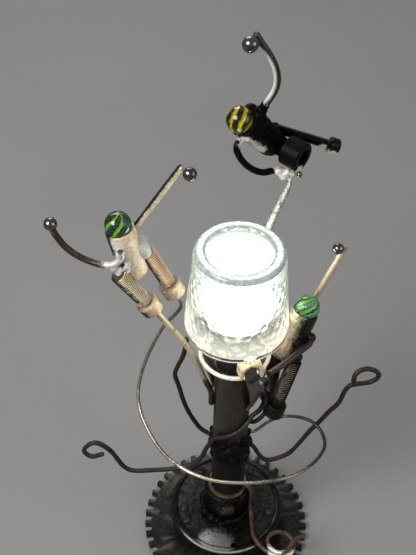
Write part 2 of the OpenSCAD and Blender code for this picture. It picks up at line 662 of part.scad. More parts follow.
module right_figure_raised_arm() {
    color("#7d7266") wire(right_raised_route, rod_r, rod_r, rod_r);
}

module right_figure_low_arm() {
    color("#7d7266") wire(right_low_route, rod_r, rod_r, rod_r);
}

module right_figure_hands() {
    color("#8f8d8a") balls(right_hands);
}

module right_figure_front_leg() {
    color("#6e665b") screw(right_front_leg, leg_d, leg_pitch, leg_head);
}

module right_figure_back_leg() {
    color("#6e665b") screw(right_back_leg, leg_d, leg_pitch, leg_head);
}

module right_figure_support() {
    color("#5c5148") wire(right_support_route, rod_r * 0.8, rod_r * 0.8, rod_r * 0.8);
}

module top_figure_body() {
    color("#3c3530") figure_body(top_head, top_dir, [[up([9.9, 52.6, 361.2]), 4.5],
        [up([1.5, 46.5, 354]), 3.4]], [concat(top_leg, [6]), concat(top_boot, [12])],
        [top_raised_route, top_low_route]);
}

module top_figure_marble() {
    color("#b9a81e") translate(top_head) sphere(r = marble_r);
}

module top_figure_raised_arm() {
    color("#6a5f58") wire(top_raised_route, rod_r, rod_r, rod_r);
}

module top_figure_low_arm() {
    color("#3a302a") wire(top_low_route, rod_r, rod_r, rod_r);
}

module top_figure_hands() {
    color("#6d6a67") balls(top_hands);
}

module top_figure_leg() {
    color("#3e352f") screw(top_leg, 6, 1, m6_head, 5);
}

module top_figure_boot() {
    color("#4a443e") screw(top_boot, 12, 1.75, m12_head, 10);
}

module top_figure_weld() {
    color("#cfc4ae") along(up([22.4, 46.2, 329.4]), [9, 0.8, -2.8]) rotate_extrude()
        polygon([[0, -2.6], [1.6, -2.4], [2.6, -1], [3, 0.6], [2.7, 2.2], [3.3, 3.6], [3.7, 4.8],
        [3.3, 6], [2.8, 7], [3, 8.2], [2.6, 9.6], [1.4, 10.6], [0, 10.9]]);
}

module top_figure_support() {
    color("#d5d2c6") wire(top_support_route, 1.3, 3.1, 2);
}

module orbit_wire() {
    color("#a59a8c") wire(orbit_route, orbit_r, orbit_r, orbit_r);
}

module wrapped_tendril() {
    color("#6d5446") wire(right_tail_route, tendril_r, tendril_r, tendril_r);
}

module right_tendril() {
    color("#6d5446") wire(right_tendril_route, tendril_r, tendril_r, tendril_r);
}

module back_tendril() {
    color("#6d5446") wire(back_tendril_route, tendril_r, tendril_r, tendril_r);
}

module front_tendril() {
    color("#84634e") wire(front_tendril_route, tendril_r, tendril_r, tendril_r);
}

base_sprocket();
drum_housing();
drum_rivets();
post_boss();
boss_weld();
boss_collar();
post_tube();
post_weld();
cable_grommet();
terminal_block();
terminal_screws();
lamp_leads();
post_cap();
cap_nut();
threaded_nipple();
lamp_cup();
holder_body();
holder_sleeve();
holder_contact();
bulb_tip();
bulb_cap();
bulb_collar();
bulb_globe();
glass_shade();
bracket_front();
bracket_right();
bracket_left();
saddle_front();
saddle_right();
saddle_left();
left_figure_body();
left_figure_marble();
left_figure_raised_arm();
left_figure_low_arm();
left_figure_hands();
left_figure_front_leg();
left_figure_back_leg();
left_figure_support();
right_figure_body();
right_figure_marble();
right_figure_raised_arm();
right_figure_low_arm();
right_figure_hands();
right_figure_front_leg();
right_figure_back_leg();
right_figure_support();
top_figure_body();
top_figure_marble();
top_figure_raised_arm();
top_figure_low_arm();
top_figure_hands();
top_figure_leg();
top_figure_boot();
top_figure_weld();
top_figure_support();
orbit_wire();
wrapped_tendril();
right_tendril();
back_tendril();
front_tendril();
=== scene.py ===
"""Looks of the moon lamp: a table lamp welded up from scrap steel, glass and wire.

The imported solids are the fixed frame. Each operator dresses one group of pieces, in place.
"""

import math

import bpy
from bpy.props import FloatProperty, FloatVectorProperty, IntProperty, PointerProperty
from mathutils import Matrix, Vector


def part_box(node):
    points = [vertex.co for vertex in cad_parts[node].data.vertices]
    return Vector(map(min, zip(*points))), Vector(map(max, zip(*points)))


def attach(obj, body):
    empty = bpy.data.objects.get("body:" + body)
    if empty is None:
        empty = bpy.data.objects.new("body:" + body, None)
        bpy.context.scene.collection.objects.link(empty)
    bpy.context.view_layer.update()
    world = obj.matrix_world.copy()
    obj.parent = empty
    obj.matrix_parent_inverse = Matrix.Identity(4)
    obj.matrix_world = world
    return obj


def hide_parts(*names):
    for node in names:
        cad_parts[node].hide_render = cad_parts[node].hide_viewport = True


bl_info = {
    "name": "Moon lamp",
    "version": (1, 0, 0),
    "blender": (4, 5, 0),
    "location": "View3D > Sidebar > Moon lamp",
    "description": "Dresses the moon lamp's solids with shaped pieces and worn finishes",
    "category": "Object",
}

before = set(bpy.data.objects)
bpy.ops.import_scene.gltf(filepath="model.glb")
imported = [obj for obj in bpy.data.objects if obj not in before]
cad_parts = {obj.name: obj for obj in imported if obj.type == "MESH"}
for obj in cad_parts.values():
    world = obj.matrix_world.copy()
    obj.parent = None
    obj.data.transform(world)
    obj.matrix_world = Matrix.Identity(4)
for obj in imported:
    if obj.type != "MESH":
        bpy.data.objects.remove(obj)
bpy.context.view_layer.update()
MM = 0.001
ORIGIN = (0, 0, 0)
BASE = "lamp_base"
# what has been built, by name
GROUPS = {}
FINISHES = {}
# tones in linear light: weld splashes and bare steel, both also used as painted light on lit edges, a painted
# glint, and painted shade for flanks turned from the light
SPLASH_AND_LIGHT = (0.50, 0.48, 0.45)
PALE = (0.72, 0.70, 0.66)
PAINTED_GLINT = (0.72, 0.68, 0.60)
PAINTED_SHADE = (0.006, 0.005, 0.004)
# wear of the left figure's screws, and of the others
TAN = {"scale": 210.0, "stained": 0.40, "smooth": 0.42, "rough": 0.66, "metallic": 0.25, "bump": 0.3}
DARK = {"scale": 200.0, "stained": 0.42, "smooth": 0.3, "rough": 0.58, "metallic": 0.75, "bump": 0.3}
# grain of the torn edges of splashes, stains and painted shade, and where a spot's edge lies in its radius
TORN_SCALE = 420.0
SPOT_EDGE = 0.9
# how far wear rounds a thread's crest, in mm
CREST_WEAR = 0.02
# tumbler: rows of faces up its wall, radius at the foot, and the foot's outline in mm in and down
WALL_ROWS = 78
FOOT_RADIUS = 27.25 * MM
FOOT_OUTSIDE = ((0.1, 3.2), (0.6, 1.8), (1.5, 0.7), (2.8, 0.1), (4.2, 0), (5.4, 0.2), (7, 0.8), (14, 1.25))
FOOT_INSIDE = ((12, 7), (6.4, 7.1), (4.6, 7.7), (3.6, 9))
# stage: side of the floor in metres, grey of the room, and what the lights aim at
FLOOR_SIDE = 12
ROOM_GREY = 0.3
AIM = (0, 0, 0.2)


def colour(name, description, default):
    """A colour that a user may change, in linear light."""
    return FloatVectorProperty(
        name=name, description=description, default=default, subtype="COLOR", size=3, min=0, max=1
    )


def length(name, description, default):
    """A length that a user may change, in metres."""
    return FloatProperty(
        name=name, description=description, default=default, min=0, unit="LENGTH", precision=5
    )


def power(name, description, default):
    """A light's power that a user may change, in watts."""
    return FloatProperty(name=name, description=description, default=default, min=0, unit="POWER")


def angle(name, description, degrees):
    """An angle that a user may change."""
    default = math.radians(degrees)
    return FloatProperty(name=name, description=description, default=default, subtype="ANGLE")


class MoonLampGlass(bpy.types.PropertyGroup):
    """Sizes and colours of the tumbler and the bulb."""

    dimples_round: IntProperty(
        name="Dimples round", description="Dimples in one row round the tumbler", default=28, min=8, max=60
    )
    dimple_depth: length("Dimple depth", "Depth of each dimple in the tumbler's wall", 0.36 * MM)
    wall: length("Wall", "Thickness of the tumbler's wall", 2.8 * MM)
    tint: colour("Glass tint", "Colour of the clear glass", (0.93, 0.985, 0.955))
    glow: colour("Glow", "Colour of the lit globe", (1.0, 0.965, 0.89))
    strength: FloatProperty(name="Glow strength", description="Light of the lit globe", default=8.0, min=0)
    frost: FloatProperty(
        name="Frost", description="Roughness of the foot's inside", default=0.7, min=0, max=1,
        subtype="FACTOR",
    )
    # painted glow: light of the tumbler's own, standing for the bulb's light that the glass scatters
    painted_glow: FloatProperty(
        name="Haze", description="Light that the tumbler's inside scatters", default=0.2, min=0, max=2
    )


class MoonLampSteel(bpy.types.PropertyGroup):
    """Colours of the steel, and how rough the hand work is."""

    oiled: colour("Oiled iron", "Sprocket plate", (0.029, 0.026, 0.0225))
    drum: colour("Turned steel", "Drum's worn face", (0.034, 0.031, 0.0285))
    tube: colour("Tube steel", "Post", (0.038, 0.032, 0.024))
    warm: colour("Warm steel", "Left figure", (0.74, 0.59, 0.41))
    figure: colour("Figure steel", "Right figure", (0.54, 0.465, 0.335))
    # the soot colour also lays painted shade on the left figure's flank
    soot_and_shade: colour("Soot", "Burnt welds and the top figure", (0.002, 0.0018, 0.0017))
    rust: colour("Rust", "Rust on wires and in patches", (0.031, 0.022, 0.017))
    wire: colour("Bright wire", "Orbit wire and arms", (0.27, 0.245, 0.205))
    dent: length("Dents", "Height of the dents in the bent rods", 0.35 * MM)


class MoonLampMarbles(bpy.types.PropertyGroup):
    """Colours of the three cat's-eye marbles."""

    left: colour("Left swirl", "Bands of the left figure's marble", (0.52, 0.84, 0.06))
    right: colour("Right swirl", "Bands of the right figure's marble", (0.42, 0.66, 0.08))
    top: colour("Top swirl", "Bands of the top figure's marble", (0.74, 0.62, 0.01))
    lobes: IntProperty(name="Lobes", description="Lobes of the core in each marble", default=5, min=2, max=8)


class MoonLampStage(bpy.types.PropertyGroup):
    """Floor, light and camera."""

    floor: colour("Floor", "Colour of the plain floor", (0.225, 0.222, 0.215))
    key: power("Key light", "Power of the key light", 26.0)
    fill: power("Fill light", "Power of the fill light", 6.0)
    camera_place: FloatVectorProperty(
        name="Camera", description="Place of the camera", default=(-0.0183, -0.3534, 0.6324),
        subtype="TRANSLATION",
    )
    pitch: angle("Pitch", "How far the camera looks down", 44.53)
    roll: angle("Roll", "Tilt of the camera", 1.107)
    lens: FloatProperty(name="Lens", description="Focal length on a 36 mm frame", default=54.1, min=10)


class MoonLampSettings(bpy.types.PropertyGroup):
    """All settings of the lamp."""

    glass: PointerProperty(type=MoonLampGlass, name="Glass", description="Tumbler and bulb")
    steel: PointerProperty(type=MoonLampSteel, name="Steel", description="Steel pieces")
    marbles: PointerProperty(type=MoonLampMarbles, name="Marbles", description="Glass marbles")
    stage: PointerProperty(type=MoonLampStage, name="Stage", description="Floor, light and camera")


# Nodes of the finishes


def feed(value, socket):
    """Links a value to a socket."""
    socket.id_data.links.new(value, socket)


def add(tree, kind, values=None, **settings):
    """A shader node with its settings, and its sockets set or linked."""
    node = tree.nodes.new(kind)
    for key, value in settings.items():
        setattr(node, key, value)
    for key, value in (values or {}).items():
        socket = node.inputs[key]
        if isinstance(value, bpy.types.NodeSocket):
            feed(value, socket)
        elif socket.type == "RGBA" and len(value) == 3:
            socket.default_value = (*value, 1)
        else:
            socket.default_value = value
    return node


def joined(kind, values, **settings):
    """A shader node in the tree that the first linked one of its values is in."""
    linked = [value for value in values.values() if isinstance(value, bpy.types.NodeSocket)]
    return add(linked[0].id_data, kind, values, **settings)


def math_node(operation, a, b=0.0):
    """The result of one sum."""
    return joined("ShaderNodeMath", {0: a, 1: b}, operation=operation).outputs[0]


def plus(a, b):
    """Two values added."""
    return math_node("ADD", a, b)


def minus(a, b):
    """One value less another."""
    return math_node("SUBTRACT", a, b)


def times(a, b):
    """Two values multiplied."""
    return math_node("MULTIPLY", a, b)


def vector_node(operation, a, b=ORIGIN):
    """The result of one sum with vectors: a vector, or the value of a length or a dot product."""
    node = joined("ShaderNodeVectorMath", {0: a, 1: b}, operation=operation)
    return node.outputs[1 if operation in ("DISTANCE", "DOT_PRODUCT", "LENGTH") else 0]


def scaled(tone, factor):
    """A colour made lighter or darker."""
    return joined("ShaderNodeVectorMath", {0: tone, 3: factor}, operation="SCALE").outputs[0]


def height_of(place):
    """Height above the table."""
    return joined("ShaderNodeSeparateXYZ", {0: place}).outputs[2]


def ramp(value, low, high, to_low=0.0, to_high=1.0):
    """A value eased from one range into another."""
    values = {"Value": value, "From Min": low, "From Max": high, "To Min": to_low, "To Max": to_high}
    return joined("ShaderNodeMapRange", values, interpolation_type="SMOOTHSTEP").outputs[0]


def noise(place, scale, detail=4.0, rough=0.55):
    """A noise value."""
    values = {"Vector": place, "Scale": scale, "Detail": detail, "Roughness": rough}
    return joined("ShaderNodeTexNoise", values).outputs[0]


def mix_colour(factor, a, b):
    """Two colours mixed."""
    return joined("ShaderNodeMix", {0: factor, 6: a, 7: b}, data_type="RGBA").outputs[2]


def mix_value(factor, a, b):
    """Two values mixed."""
    return joined("ShaderNodeMix", {0: factor, 2: a, 3: b}, data_type="FLOAT").outputs[0]


def node_group(name, outputs, **inputs):
    """A new shared group: what it is given, and the sockets it feeds. A default tells an input's kind."""
    tree = bpy.data.node_groups.new(name, "ShaderNodeTree")
    kinds = {0: "NodeSocketFloat", 3: "NodeSocketVector", 4: "NodeSocketColor"}
    for label, default in inputs.items():
        kind = kinds[len(default) if isinstance(default, tuple) else 0]
        tree.interface.new_socket(label, in_out="INPUT", socket_type=kind).default_value = default
    for label in outputs:
        kind = kinds[4 if label == "Colour" else 0]
        tree.interface.new_socket(label, in_out="OUTPUT", socket_type=kind)
    GROUPS[name] = tree
    given = tree.nodes.new("NodeGroupInput").outputs
    return [given[label] for label in inputs], tree.nodes.new("NodeGroupOutput").inputs


def worn_metal_group():
    """Steel with patches of stain or rust, fine mottling and a pitted grain."""
    (place, clean, stain, scale, stretch, stained, smooth, rough), out = node_group(
        "worn_metal", ("Colour", "Roughness", "Height"), Place=ORIGIN, Clean=(0.4, 0.4, 0.4, 1),
        Stain=(0.1, 0.06, 0.04, 1), Scale=120, Stretch=(1, 1, 1), Stained=0.4, Smooth=0.35, Rough=0.7,
    )
    drawn = vector_node("MULTIPLY", place, stretch)
    broad = noise(drawn, scale, 6, 0.62)
    fine = noise(drawn, times(scale, 5.5), 5, 0.6)
    pits = noise(place, times(scale, 16), 3, 0.5)
    low = minus(0.7, times(stained, 0.42))
    spread = plus(broad, times(minus(fine, 0.5), 0.22))
    mask = ramp(spread, low, plus(low, 0.14))
    mottle = ramp(fine, 0.25, 0.75, 0.62, 1.22)
    feed(scaled(mix_colour(mask, clean, stain), mottle), out["Colour"])
    dull = mix_value(mask, smooth, rough)
    feed(plus(dull, ramp(fine, 0.3, 0.7, -0.08, 0.1)), out["Roughness"])
    height = plus(times(pits, 0.5), times(mask, 0.35))
    feed(plus(height, times(fine, 0.4)), out["Height"])


def spot_group():
    """A soft ragged spot round a point, such as a splash of weld or a stain; it also lays painted highlights
    and shade.
    """
    (place, centre, radius, ragged, soft), out = node_group(
        "ragged_spot", ("Mask",), Place=ORIGIN, Centre=ORIGIN, Radius=0.008, Ragged=0.5, Soft=0.25
    )
    share = math_node("DIVIDE", vector_node("DISTANCE", place, centre), radius)
    grain = noise(place, TORN_SCALE, 5, 0.65)
    torn = times(minus(grain, 0.5), times(ragged, 3))
    outer, inner = plus(SPOT_EDGE, soft), minus(SPOT_EDGE, soft)
    feed(ramp(plus(share, torn), outer, inner), out["Mask"])


def side_group():
    """Painted shade: the ragged part of a piece on one side of a plane, on its flank turned from the light.
    """
    (place, point, facing, soft), out = node_group(
        "shaded_side", ("Mask",), Place=ORIGIN, Point=ORIGIN, Facing=(1, 0, 0), Soft=0.001
    )
    level = vector_node("DOT_PRODUCT", vector_node("SUBTRACT", place, point), facing)
    grain = noise(place, TORN_SCALE, 5, 0.65)
    torn = times(minus(grain, 0.5), times(soft, 5))
    feed(ramp(plus(level, torn), times(soft, -1), soft), out["Mask"])


def rings_group():
    """Lathe marks: fine rings about the lamp's axis."""
    (place, pitch), out = node_group("lathe_rings", ("Value", "Wide", "Radius"), Place=ORIGIN, Pitch=900)
    radius = vector_node("LENGTH", vector_node("MULTIPLY", place, (1, 1, 0)))
    for label, scale, detail in (("Value", pitch, 3), ("Wide", 130, 2)):
        values = {"W": radius, "Scale": scale, "Detail": detail}
        rings = joined("ShaderNodeTexNoise", values, noise_dimensions="1D").outputs[0]
        feed(rings, out[label])
    feed(radius, out["Radius"])


def thread_group():
    """Depth in a screw's thread: 1 at the bottom of the groove, 0 on the crest and on the head."""
    (place, start, heading, span, root, crest), out = node_group(
        "thread_groove", ("Groove",), Place=ORIGIN, Start=ORIGIN, Heading=(0, 0, 1), Length=0.035,
        Root=0.003, Crest=0.004,
    )
    reach = vector_node("SUBTRACT", place, start)
    radius = vector_node("LENGTH", vector_node("CROSS_PRODUCT", reach, heading))
    on_shank = math_node("LESS_THAN", vector_node("DOT_PRODUCT", reach, heading), span)
    feed(times(ramp(radius, crest, root), on_shank), out["Groove"])


# leg screws: start and heading in mm, thread length, radius at the root and at the crest
LEGS = {
    "left_figure_front_leg": ((-71.3, -5.4, 291), (17.5, 7.6, -34), 33.5, 3.8, 4.75),
    "left_figure_back_leg": ((-55.8, 10, 298), (40, 5, -91.5), 33.5, 3.8, 4.75),
    "right_figure_front_leg": ((39.6, -2.8, 213.6), (-11.3, -8.9, -42), 38.5, 3.8, 4.75),
    "right_figure_back_leg": ((27, 2.8, 214.5), (-2, 1, -100), 38.5, 3.8, 4.75),
    "top_figure_leg": ((20.5, 63.2, 348.1), (35.4, 0.8, -12.2), 35, 2.4, 3),
}


def placed(name, **values):
    """A shared group placed in a material with its own values."""
    return joined("ShaderNodeGroup", values, node_tree=GROUPS[name]).outputs


def blank(name):
    """A new material: its shader's sockets and the object coordinates."""
    material = bpy.data.materials.new(name)
    material.use_nodes = True
    tree = material.node_tree
    FINISHES[name] = material
    return tree.nodes["Principled BSDF"].inputs, add(tree, "ShaderNodeTexCoord").outputs["Object"]


def source(shader, name):
    """What feeds one of the shader's sockets."""
    return shader[name].links[0].from_socket


def laid_over(shader, mask, tone, dull):
    """Lays a tone with its own roughness over a finish."""
    feed(mix_colour(mask, source(shader, "Base Color"), tone), shader["Base Color"])
    feed(mix_value(mask, source(shader, "Roughness"), dull), shader["Roughness"])


def bumped(shader, height, strength, distance):
    """Relief from a height value."""
    bump = joined("ShaderNodeBump", {"Strength": strength, "Distance": distance, "Height": height})
    feed(bump.outputs[0], shader["Normal"])


def metal(
    name, clean, stain, scale, stained, smooth, rough, metallic, bump=0.35, stretch=(1, 1, 1),
    spots=(), sides=(), highlight_bows=(), gloss=0.5, spatter=2,
):
    """A worn steel. Each spot is a centre and radius in mm, a colour and a roughness: weld splashes and
    stains, and also painted highlights and shade.

    Each side is a point in mm, the way it faces, its soft edge in mm, a colour and a roughness: painted shade
    on the flank turned from the light.
    Each bow is the inner side of a bend: the bend's centre and radius in mm, a colour and a roughness: a
    painted highlight along it.
    """
    shader, place = blank(name)
    worn = placed(
        "worn_metal", Place=place, Clean=clean, Stain=stain, Scale=scale, Stretch=stretch, Stained=stained,
        Smooth=smooth, Rough=rough,
    )
    height = worn["Height"]
    feed(worn["Colour"], shader["Base Color"])
    feed(worn["Roughness"], shader["Roughness"])
    # painted shade on flanks turned from the light
    for point, facing, soft, tone, dull in sides:
        facing = Vector(facing).normalized()
        side = placed("shaded_side", Place=place, Point=Vector(point) * MM, Facing=facing, Soft=soft * MM)
        laid_over(shader, side["Mask"], tone, dull)
    # painted highlights on the inner sides of bends
    for centre, radius, tone, dull in highlight_bows:
        centre, rim = Vector(centre) * MM, radius / SPOT_EDGE * MM
        highlight_bow = placed("ragged_spot", Place=place, Centre=centre, Radius=rim, Soft=1 / radius, Ragged=0)
        laid_over(shader, highlight_bow["Mask"], tone, dull)
    lumps = noise(place, 650, 4, 0.6) if spots and spatter else None
    for centre, radius, tone, dull in spots:
        spot = placed("ragged_spot", Place=place, Centre=Vector(centre) * MM, Radius=radius * MM)
        mask = spot["Mask"]
        if lumps:
            tone = mix_colour(ramp(lumps, 0.5, 0.75), tone, tuple(c * 0.45 for c in tone))
            height = plus(height, times(times(mask, lumps), spatter))
        laid_over(shader, mask, tone, dull)
    shader["Metallic"].default_value = metallic
    shader["Specular IOR Level"].default_value = gloss
    bumped(shader, height, bump, 0.4 * MM)
    return shader, place


def threaded(leg, groove, fill=0.6, **finish):
    """A worn steel screw whose thread is dark in its grooves, from dirt and painted shade, up to so many mm
    above the groove's bottom.
    """
    start, heading, span, root, crest = LEGS[leg]
    shader, place = metal(leg + "_steel", **finish)
    thread = placed(
        "thread_groove", Place=place, Start=Vector(start) * MM, Heading=Vector(heading).normalized(),
        Length=span * MM, Root=(root + fill) * MM, Crest=(crest - CREST_WEAR) * MM,
    )
    clean = source(shader, "Base Color")
    # dirt and painted shade in the thread's grooves
    laid_over(shader, thread["Groove"], groove, 0.75)
    feed(vector_node("MINIMUM", clean, source(shader, "Base Color")), shader["Base Color"])


def glass(name, tint, smudge):
    """Clear glass with faint smudges."""
    shader, place = blank(name)
    marks = noise(place, 160, 4, 0.6)
    feed(ramp(marks, 0.45, 0.8, 0.015, smudge), shader["Roughness"])
    shader["Base Color"].default_value = (*tint, 1)
    shader["Transmission Weight"].default_value = 1
    shader["IOR"].default_value = 1.5
    return shader, place


def frosted_finish(settings):
    """The tumbler's inside: hazy walls with a painted glow standing for the bulb's light they scatter, and a
    misty foot over the bulb.
    """
    shader, place = glass("frosted_glass_painted_glow", settings.tint, 0.09)
    height = height_of(place)
    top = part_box("glass_shade")[1].z
    sides = ramp(height, top - 17 * MM, top - 11 * MM, 0.17, 0.03)
    foot = ramp(height, top - 7.8 * MM, top - 7.3 * MM, 0, settings.frost)
    cloud = ramp(noise(place, 240, 3), 0.3, 0.7, 0.9, 1.1)
    feed(times(plus(sides, foot), cloud), shader["Roughness"])
    # painted glow: the bulb's light scattered in the glass, brightest towards the mouth and dimmer along a
    # honeycomb of cell edges
    low = ramp(height, top - 58 * MM, top - 38 * MM)
    hue = mix_colour(low, (4.8, 4.6, 3.9), (0.58, 0.68, 0.63))
    values = {"Vector": place, "Scale": 150}
    cells = joined("ShaderNodeTexVoronoi", values, feature="DISTANCE_TO_EDGE").outputs["Distance"]
    level = ramp(cells, 0.02, 0.26, 0.74, 1.06)
    lit = scaled(hue, level)
    feed(lit, shader["Emission Color"])
    shader["Emission Strength"].default_value = settings.painted_glow


def ring_finish(settings):
    """The ring that the tumbler stands on when upright: ground dull and opaque, with a painted glow standing
    for the bulb's light from below, and a greyer edge that is a painted reflection of the dark room.
    """
    shader, place = blank("ground_ring_painted_glow")
    worn = ramp(noise(place, 420, 3, 0.6), 0.42, 0.6)
    flat = mix_colour(worn, (0.5, 0.56, 0.53), (0.9, 0.95, 0.92))
    # painted reflection: the edge below the flat top is greyer, as the dark room shows in it
    edge = mix_colour(worn, (0.22, 0.26, 0.245), (0.3, 0.345, 0.325))
    height = height_of(place)
    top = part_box("glass_shade")[1].z
    tone = mix_colour(ramp(height, top - 0.5 * MM, top - 0.1 * MM), edge, flat)
    feed(tone, shader["Base Color"])
    # painted glow: the bulb's light coming through the ring from below
    feed(tone, shader["Emission Color"])
    shader["Emission Strength"].default_value = settings.painted_glow * 2.5
    feed(ramp(worn, 0, 1, 0.12, 0.3), shader["Roughness"])


def plain(name, tone, worn, scale, roughness):
    """A moulded or enamelled surface with faint mottling and scuffs."""
    shader, place = blank(name)
    cloud = noise(place, scale, 5, 0.6)
    scuff = ramp(noise(place, scale * 6, 6, 0.7), 0.56, 0.68)
    mottled = mix_colour(ramp(cloud, 0.4, 0.7), tone, tuple(c * 0.82 for c in tone))
    feed(mix_colour(scuff, mottled, worn), shader["Base Color"])
    feed(ramp(cloud, 0.3, 0.7, roughness - 0.06, roughness + 0.12), shader["Roughness"])
    bumped(shader, noise(place, scale * 9, 3), 0.08, 0.3 * MM)
    return shader, place


def drum_finish(steel):
    """Turned steel with brown stains, worn bright on the front of the lip, partly a painted reflection, with
    a painted highlight along the lip's edge.
    """
    shader, place = metal(
        "worn_drum_steel", steel.drum, (0.014, 0.012, 0.01), 55, 0.52, 0.24, 0.52, 0.9, 0.12, gloss=0.4
    )
    rings = placed("lathe_rings", Place=place, Pitch=1500)
    band = ramp(rings["Wide"], 0.35, 0.68, 0.62, 1.12)
    feed(scaled(source(shader, "Base Color"), band), shader["Base Color"])
    lip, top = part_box("drum_housing")[1].x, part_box("drum_housing")[1].z
    brow = ramp(height_of(place), top - 2.6 * MM, top - 1.4 * MM)
    streaks = ramp(rings["Wide"], 0.3, 0.6, 0.35, 1)
    edge = ramp(rings["Radius"], lip - 1.9 * MM, lip - 1 * MM)
    # a pale patch on the front of the lip, worn bright and partly a painted reflection, and a painted
    # highlight along the lip's edge
    for x, y, radius, where in ((-9, -37.5, 13, streaks), (-9, -43, 30, edge)):
        centre = (x * MM, y * MM, top)
        worn_and_lit = placed("ragged_spot", Place=place, Centre=centre, Radius=radius * MM, Ragged=0.3, Soft=0.4)
        laid_over(shader, times(times(worn_and_lit["Mask"], where), brow), PALE, 0.2)
    bumped(shader, rings["Value"], 0.12, 0.2 * MM)


def post_finish(steel):
    """Drawn tube: streaks along its length, burnt and rusty round the weld and down to the boss."""
    shader, place = metal(
        "grey_tube_steel", steel.tube, (0.016, 0.0125, 0.009), 130, 0.46, 0.38, 0.64, 0.3, 0.25,
        stretch=(1, 1, 0.1), gloss=0.2,
    )
    ragged = times(minus(noise(place, 90, 5, 0.65), 0.5), 0.07)
    burnt = times(ramp(plus(height_of(place), ragged), 0.15, 0.122), 0.92)
    laid_over(shader, burnt, (0.0024, 0.0018, 0.0015), 0.62)


def cup_finish():
    """Pale enamel on the outside and the rim, with painted shade in dark brown inside, under the rim."""
    shader, place = plain("pale_enamel", (0.7, 0.69, 0.58), (0.24, 0.19, 0.13), 110, 0.3)
    low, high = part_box("lamp_cup")
    height = height_of(place)
    flat = vector_node("MULTIPLY", place, (1, 1, 0))
    radius = vector_node("LENGTH", flat)
    rise = times(minus(height, low.z), 0.745)
    inward = minus(plus(rise, 0.0141), radius)
    under_rim = ramp(height, high.z - 0.8 * MM, high.z - 2.2 * MM)
    # painted shade: dark brown inside the cup, under the rim
    shaded_inside = times(ramp(inward, 0.3 * MM, 0.8 * MM), under_rim)
    enamel = source(shader, "Base Color")
    cloud = ramp(noise(place, 140, 5), 0.4, 0.65)
    brown = mix_colour(cloud, (0.11, 0.085, 0.06), (0.05, 0.037, 0.027))
    feed(mix_colour(shaded_inside, enamel, brown), shader["Base Color"])


def globe_finish(settings):
    """Opal glass, lit from inside, a little dimmer towards its neck."""
    shader, place = blank("lit_globe")
    height = height_of(place)
    low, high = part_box("bulb_globe")
    neck = ramp(height, low.z, low.z + (high.z - low.z) * 0.5, 0.72, 1)
    cloud = ramp(noise(place, 90, 2), 0.3, 0.7, 0.97, 1)
    level = times(neck, cloud)
    glow = scaled(tuple(settings.glow), level)
    feed(glow, shader["Emission Color"])
    shader["Base Color"].default_value = (0.9, 0.89, 0.86, 1)
    shader["Emission Strength"].default_value = settings.strength
    shader["Roughness"].default_value = 0.3


def swirl_finish(name, lobes, crest, edge, valley, wide):
    """Bands of coloured glass along the lobes of a marble's core."""
    shader, place = blank(name)
    band = add(place.id_data, "ShaderNodeUVMap", uv_map="swirl").outputs[0]
    around = joined("ShaderNodeSeparateXYZ", {0: band}).outputs[0]
    streak = noise(place, 420, 3, 0.6)
    turn = times(around, math.tau * lobes)
    wave = math_node("COSINE", plus(turn, ramp(streak, 0.25, 0.75, -0.35, 0.35)))
    deep = mix_colour(ramp(wave, wide - 0.35, wide - 0.6), edge, valley)
    bands = mix_colour(ramp(wave, wide, wide + 0.2), deep, crest)
    veiled = mix_colour(ramp(streak, 0.5, 0.8, 0, 0.5), bands, edge)
    feed(veiled, shader["Base Color"])
    feed(ramp(streak, 0.3, 0.7, 0.25, 0.45), shader["Roughness"])


def base_steels(steel):
    """Steels of the base and the post."""
    metal("oiled_iron", steel.oiled, (0.013, 0.011, 0.009), 70, 0.5, 0.32, 0.6, 0.7, 0.3, gloss=0.3)
    drum_finish(steel)
    metal(
        "rivet_steel", (0.03, 0.0275, 0.025), (0.009, 0.008, 0.007), 160, 0.45, 0.5, 0.7, 0.7, 0.2,
        gloss=0.2,
    )
    metal("dark_weld", steel.soot_and_shade, (0.006, 0.0048, 0.004), 190, 0.45, 0.34, 0.66, 0.1, 0.8, gloss=0.1)
    metal(
        "boss_iron", (0.0065, 0.0055, 0.005), (0.003, 0.0026, 0.0022), 110, 0.5, 0.32, 0.6, 0.6, 0.6,
        spots=[((1, -17.6, 49), 6, (0.05, 0.041, 0.034), 0.4)], gloss=0.15,
    )
    post_finish(steel)
    metal("collar_steel", (0.13, 0.1, 0.06), (0.04, 0.03, 0.022), 150, 0.5, 0.36, 0.6, 0.75, 0.3)


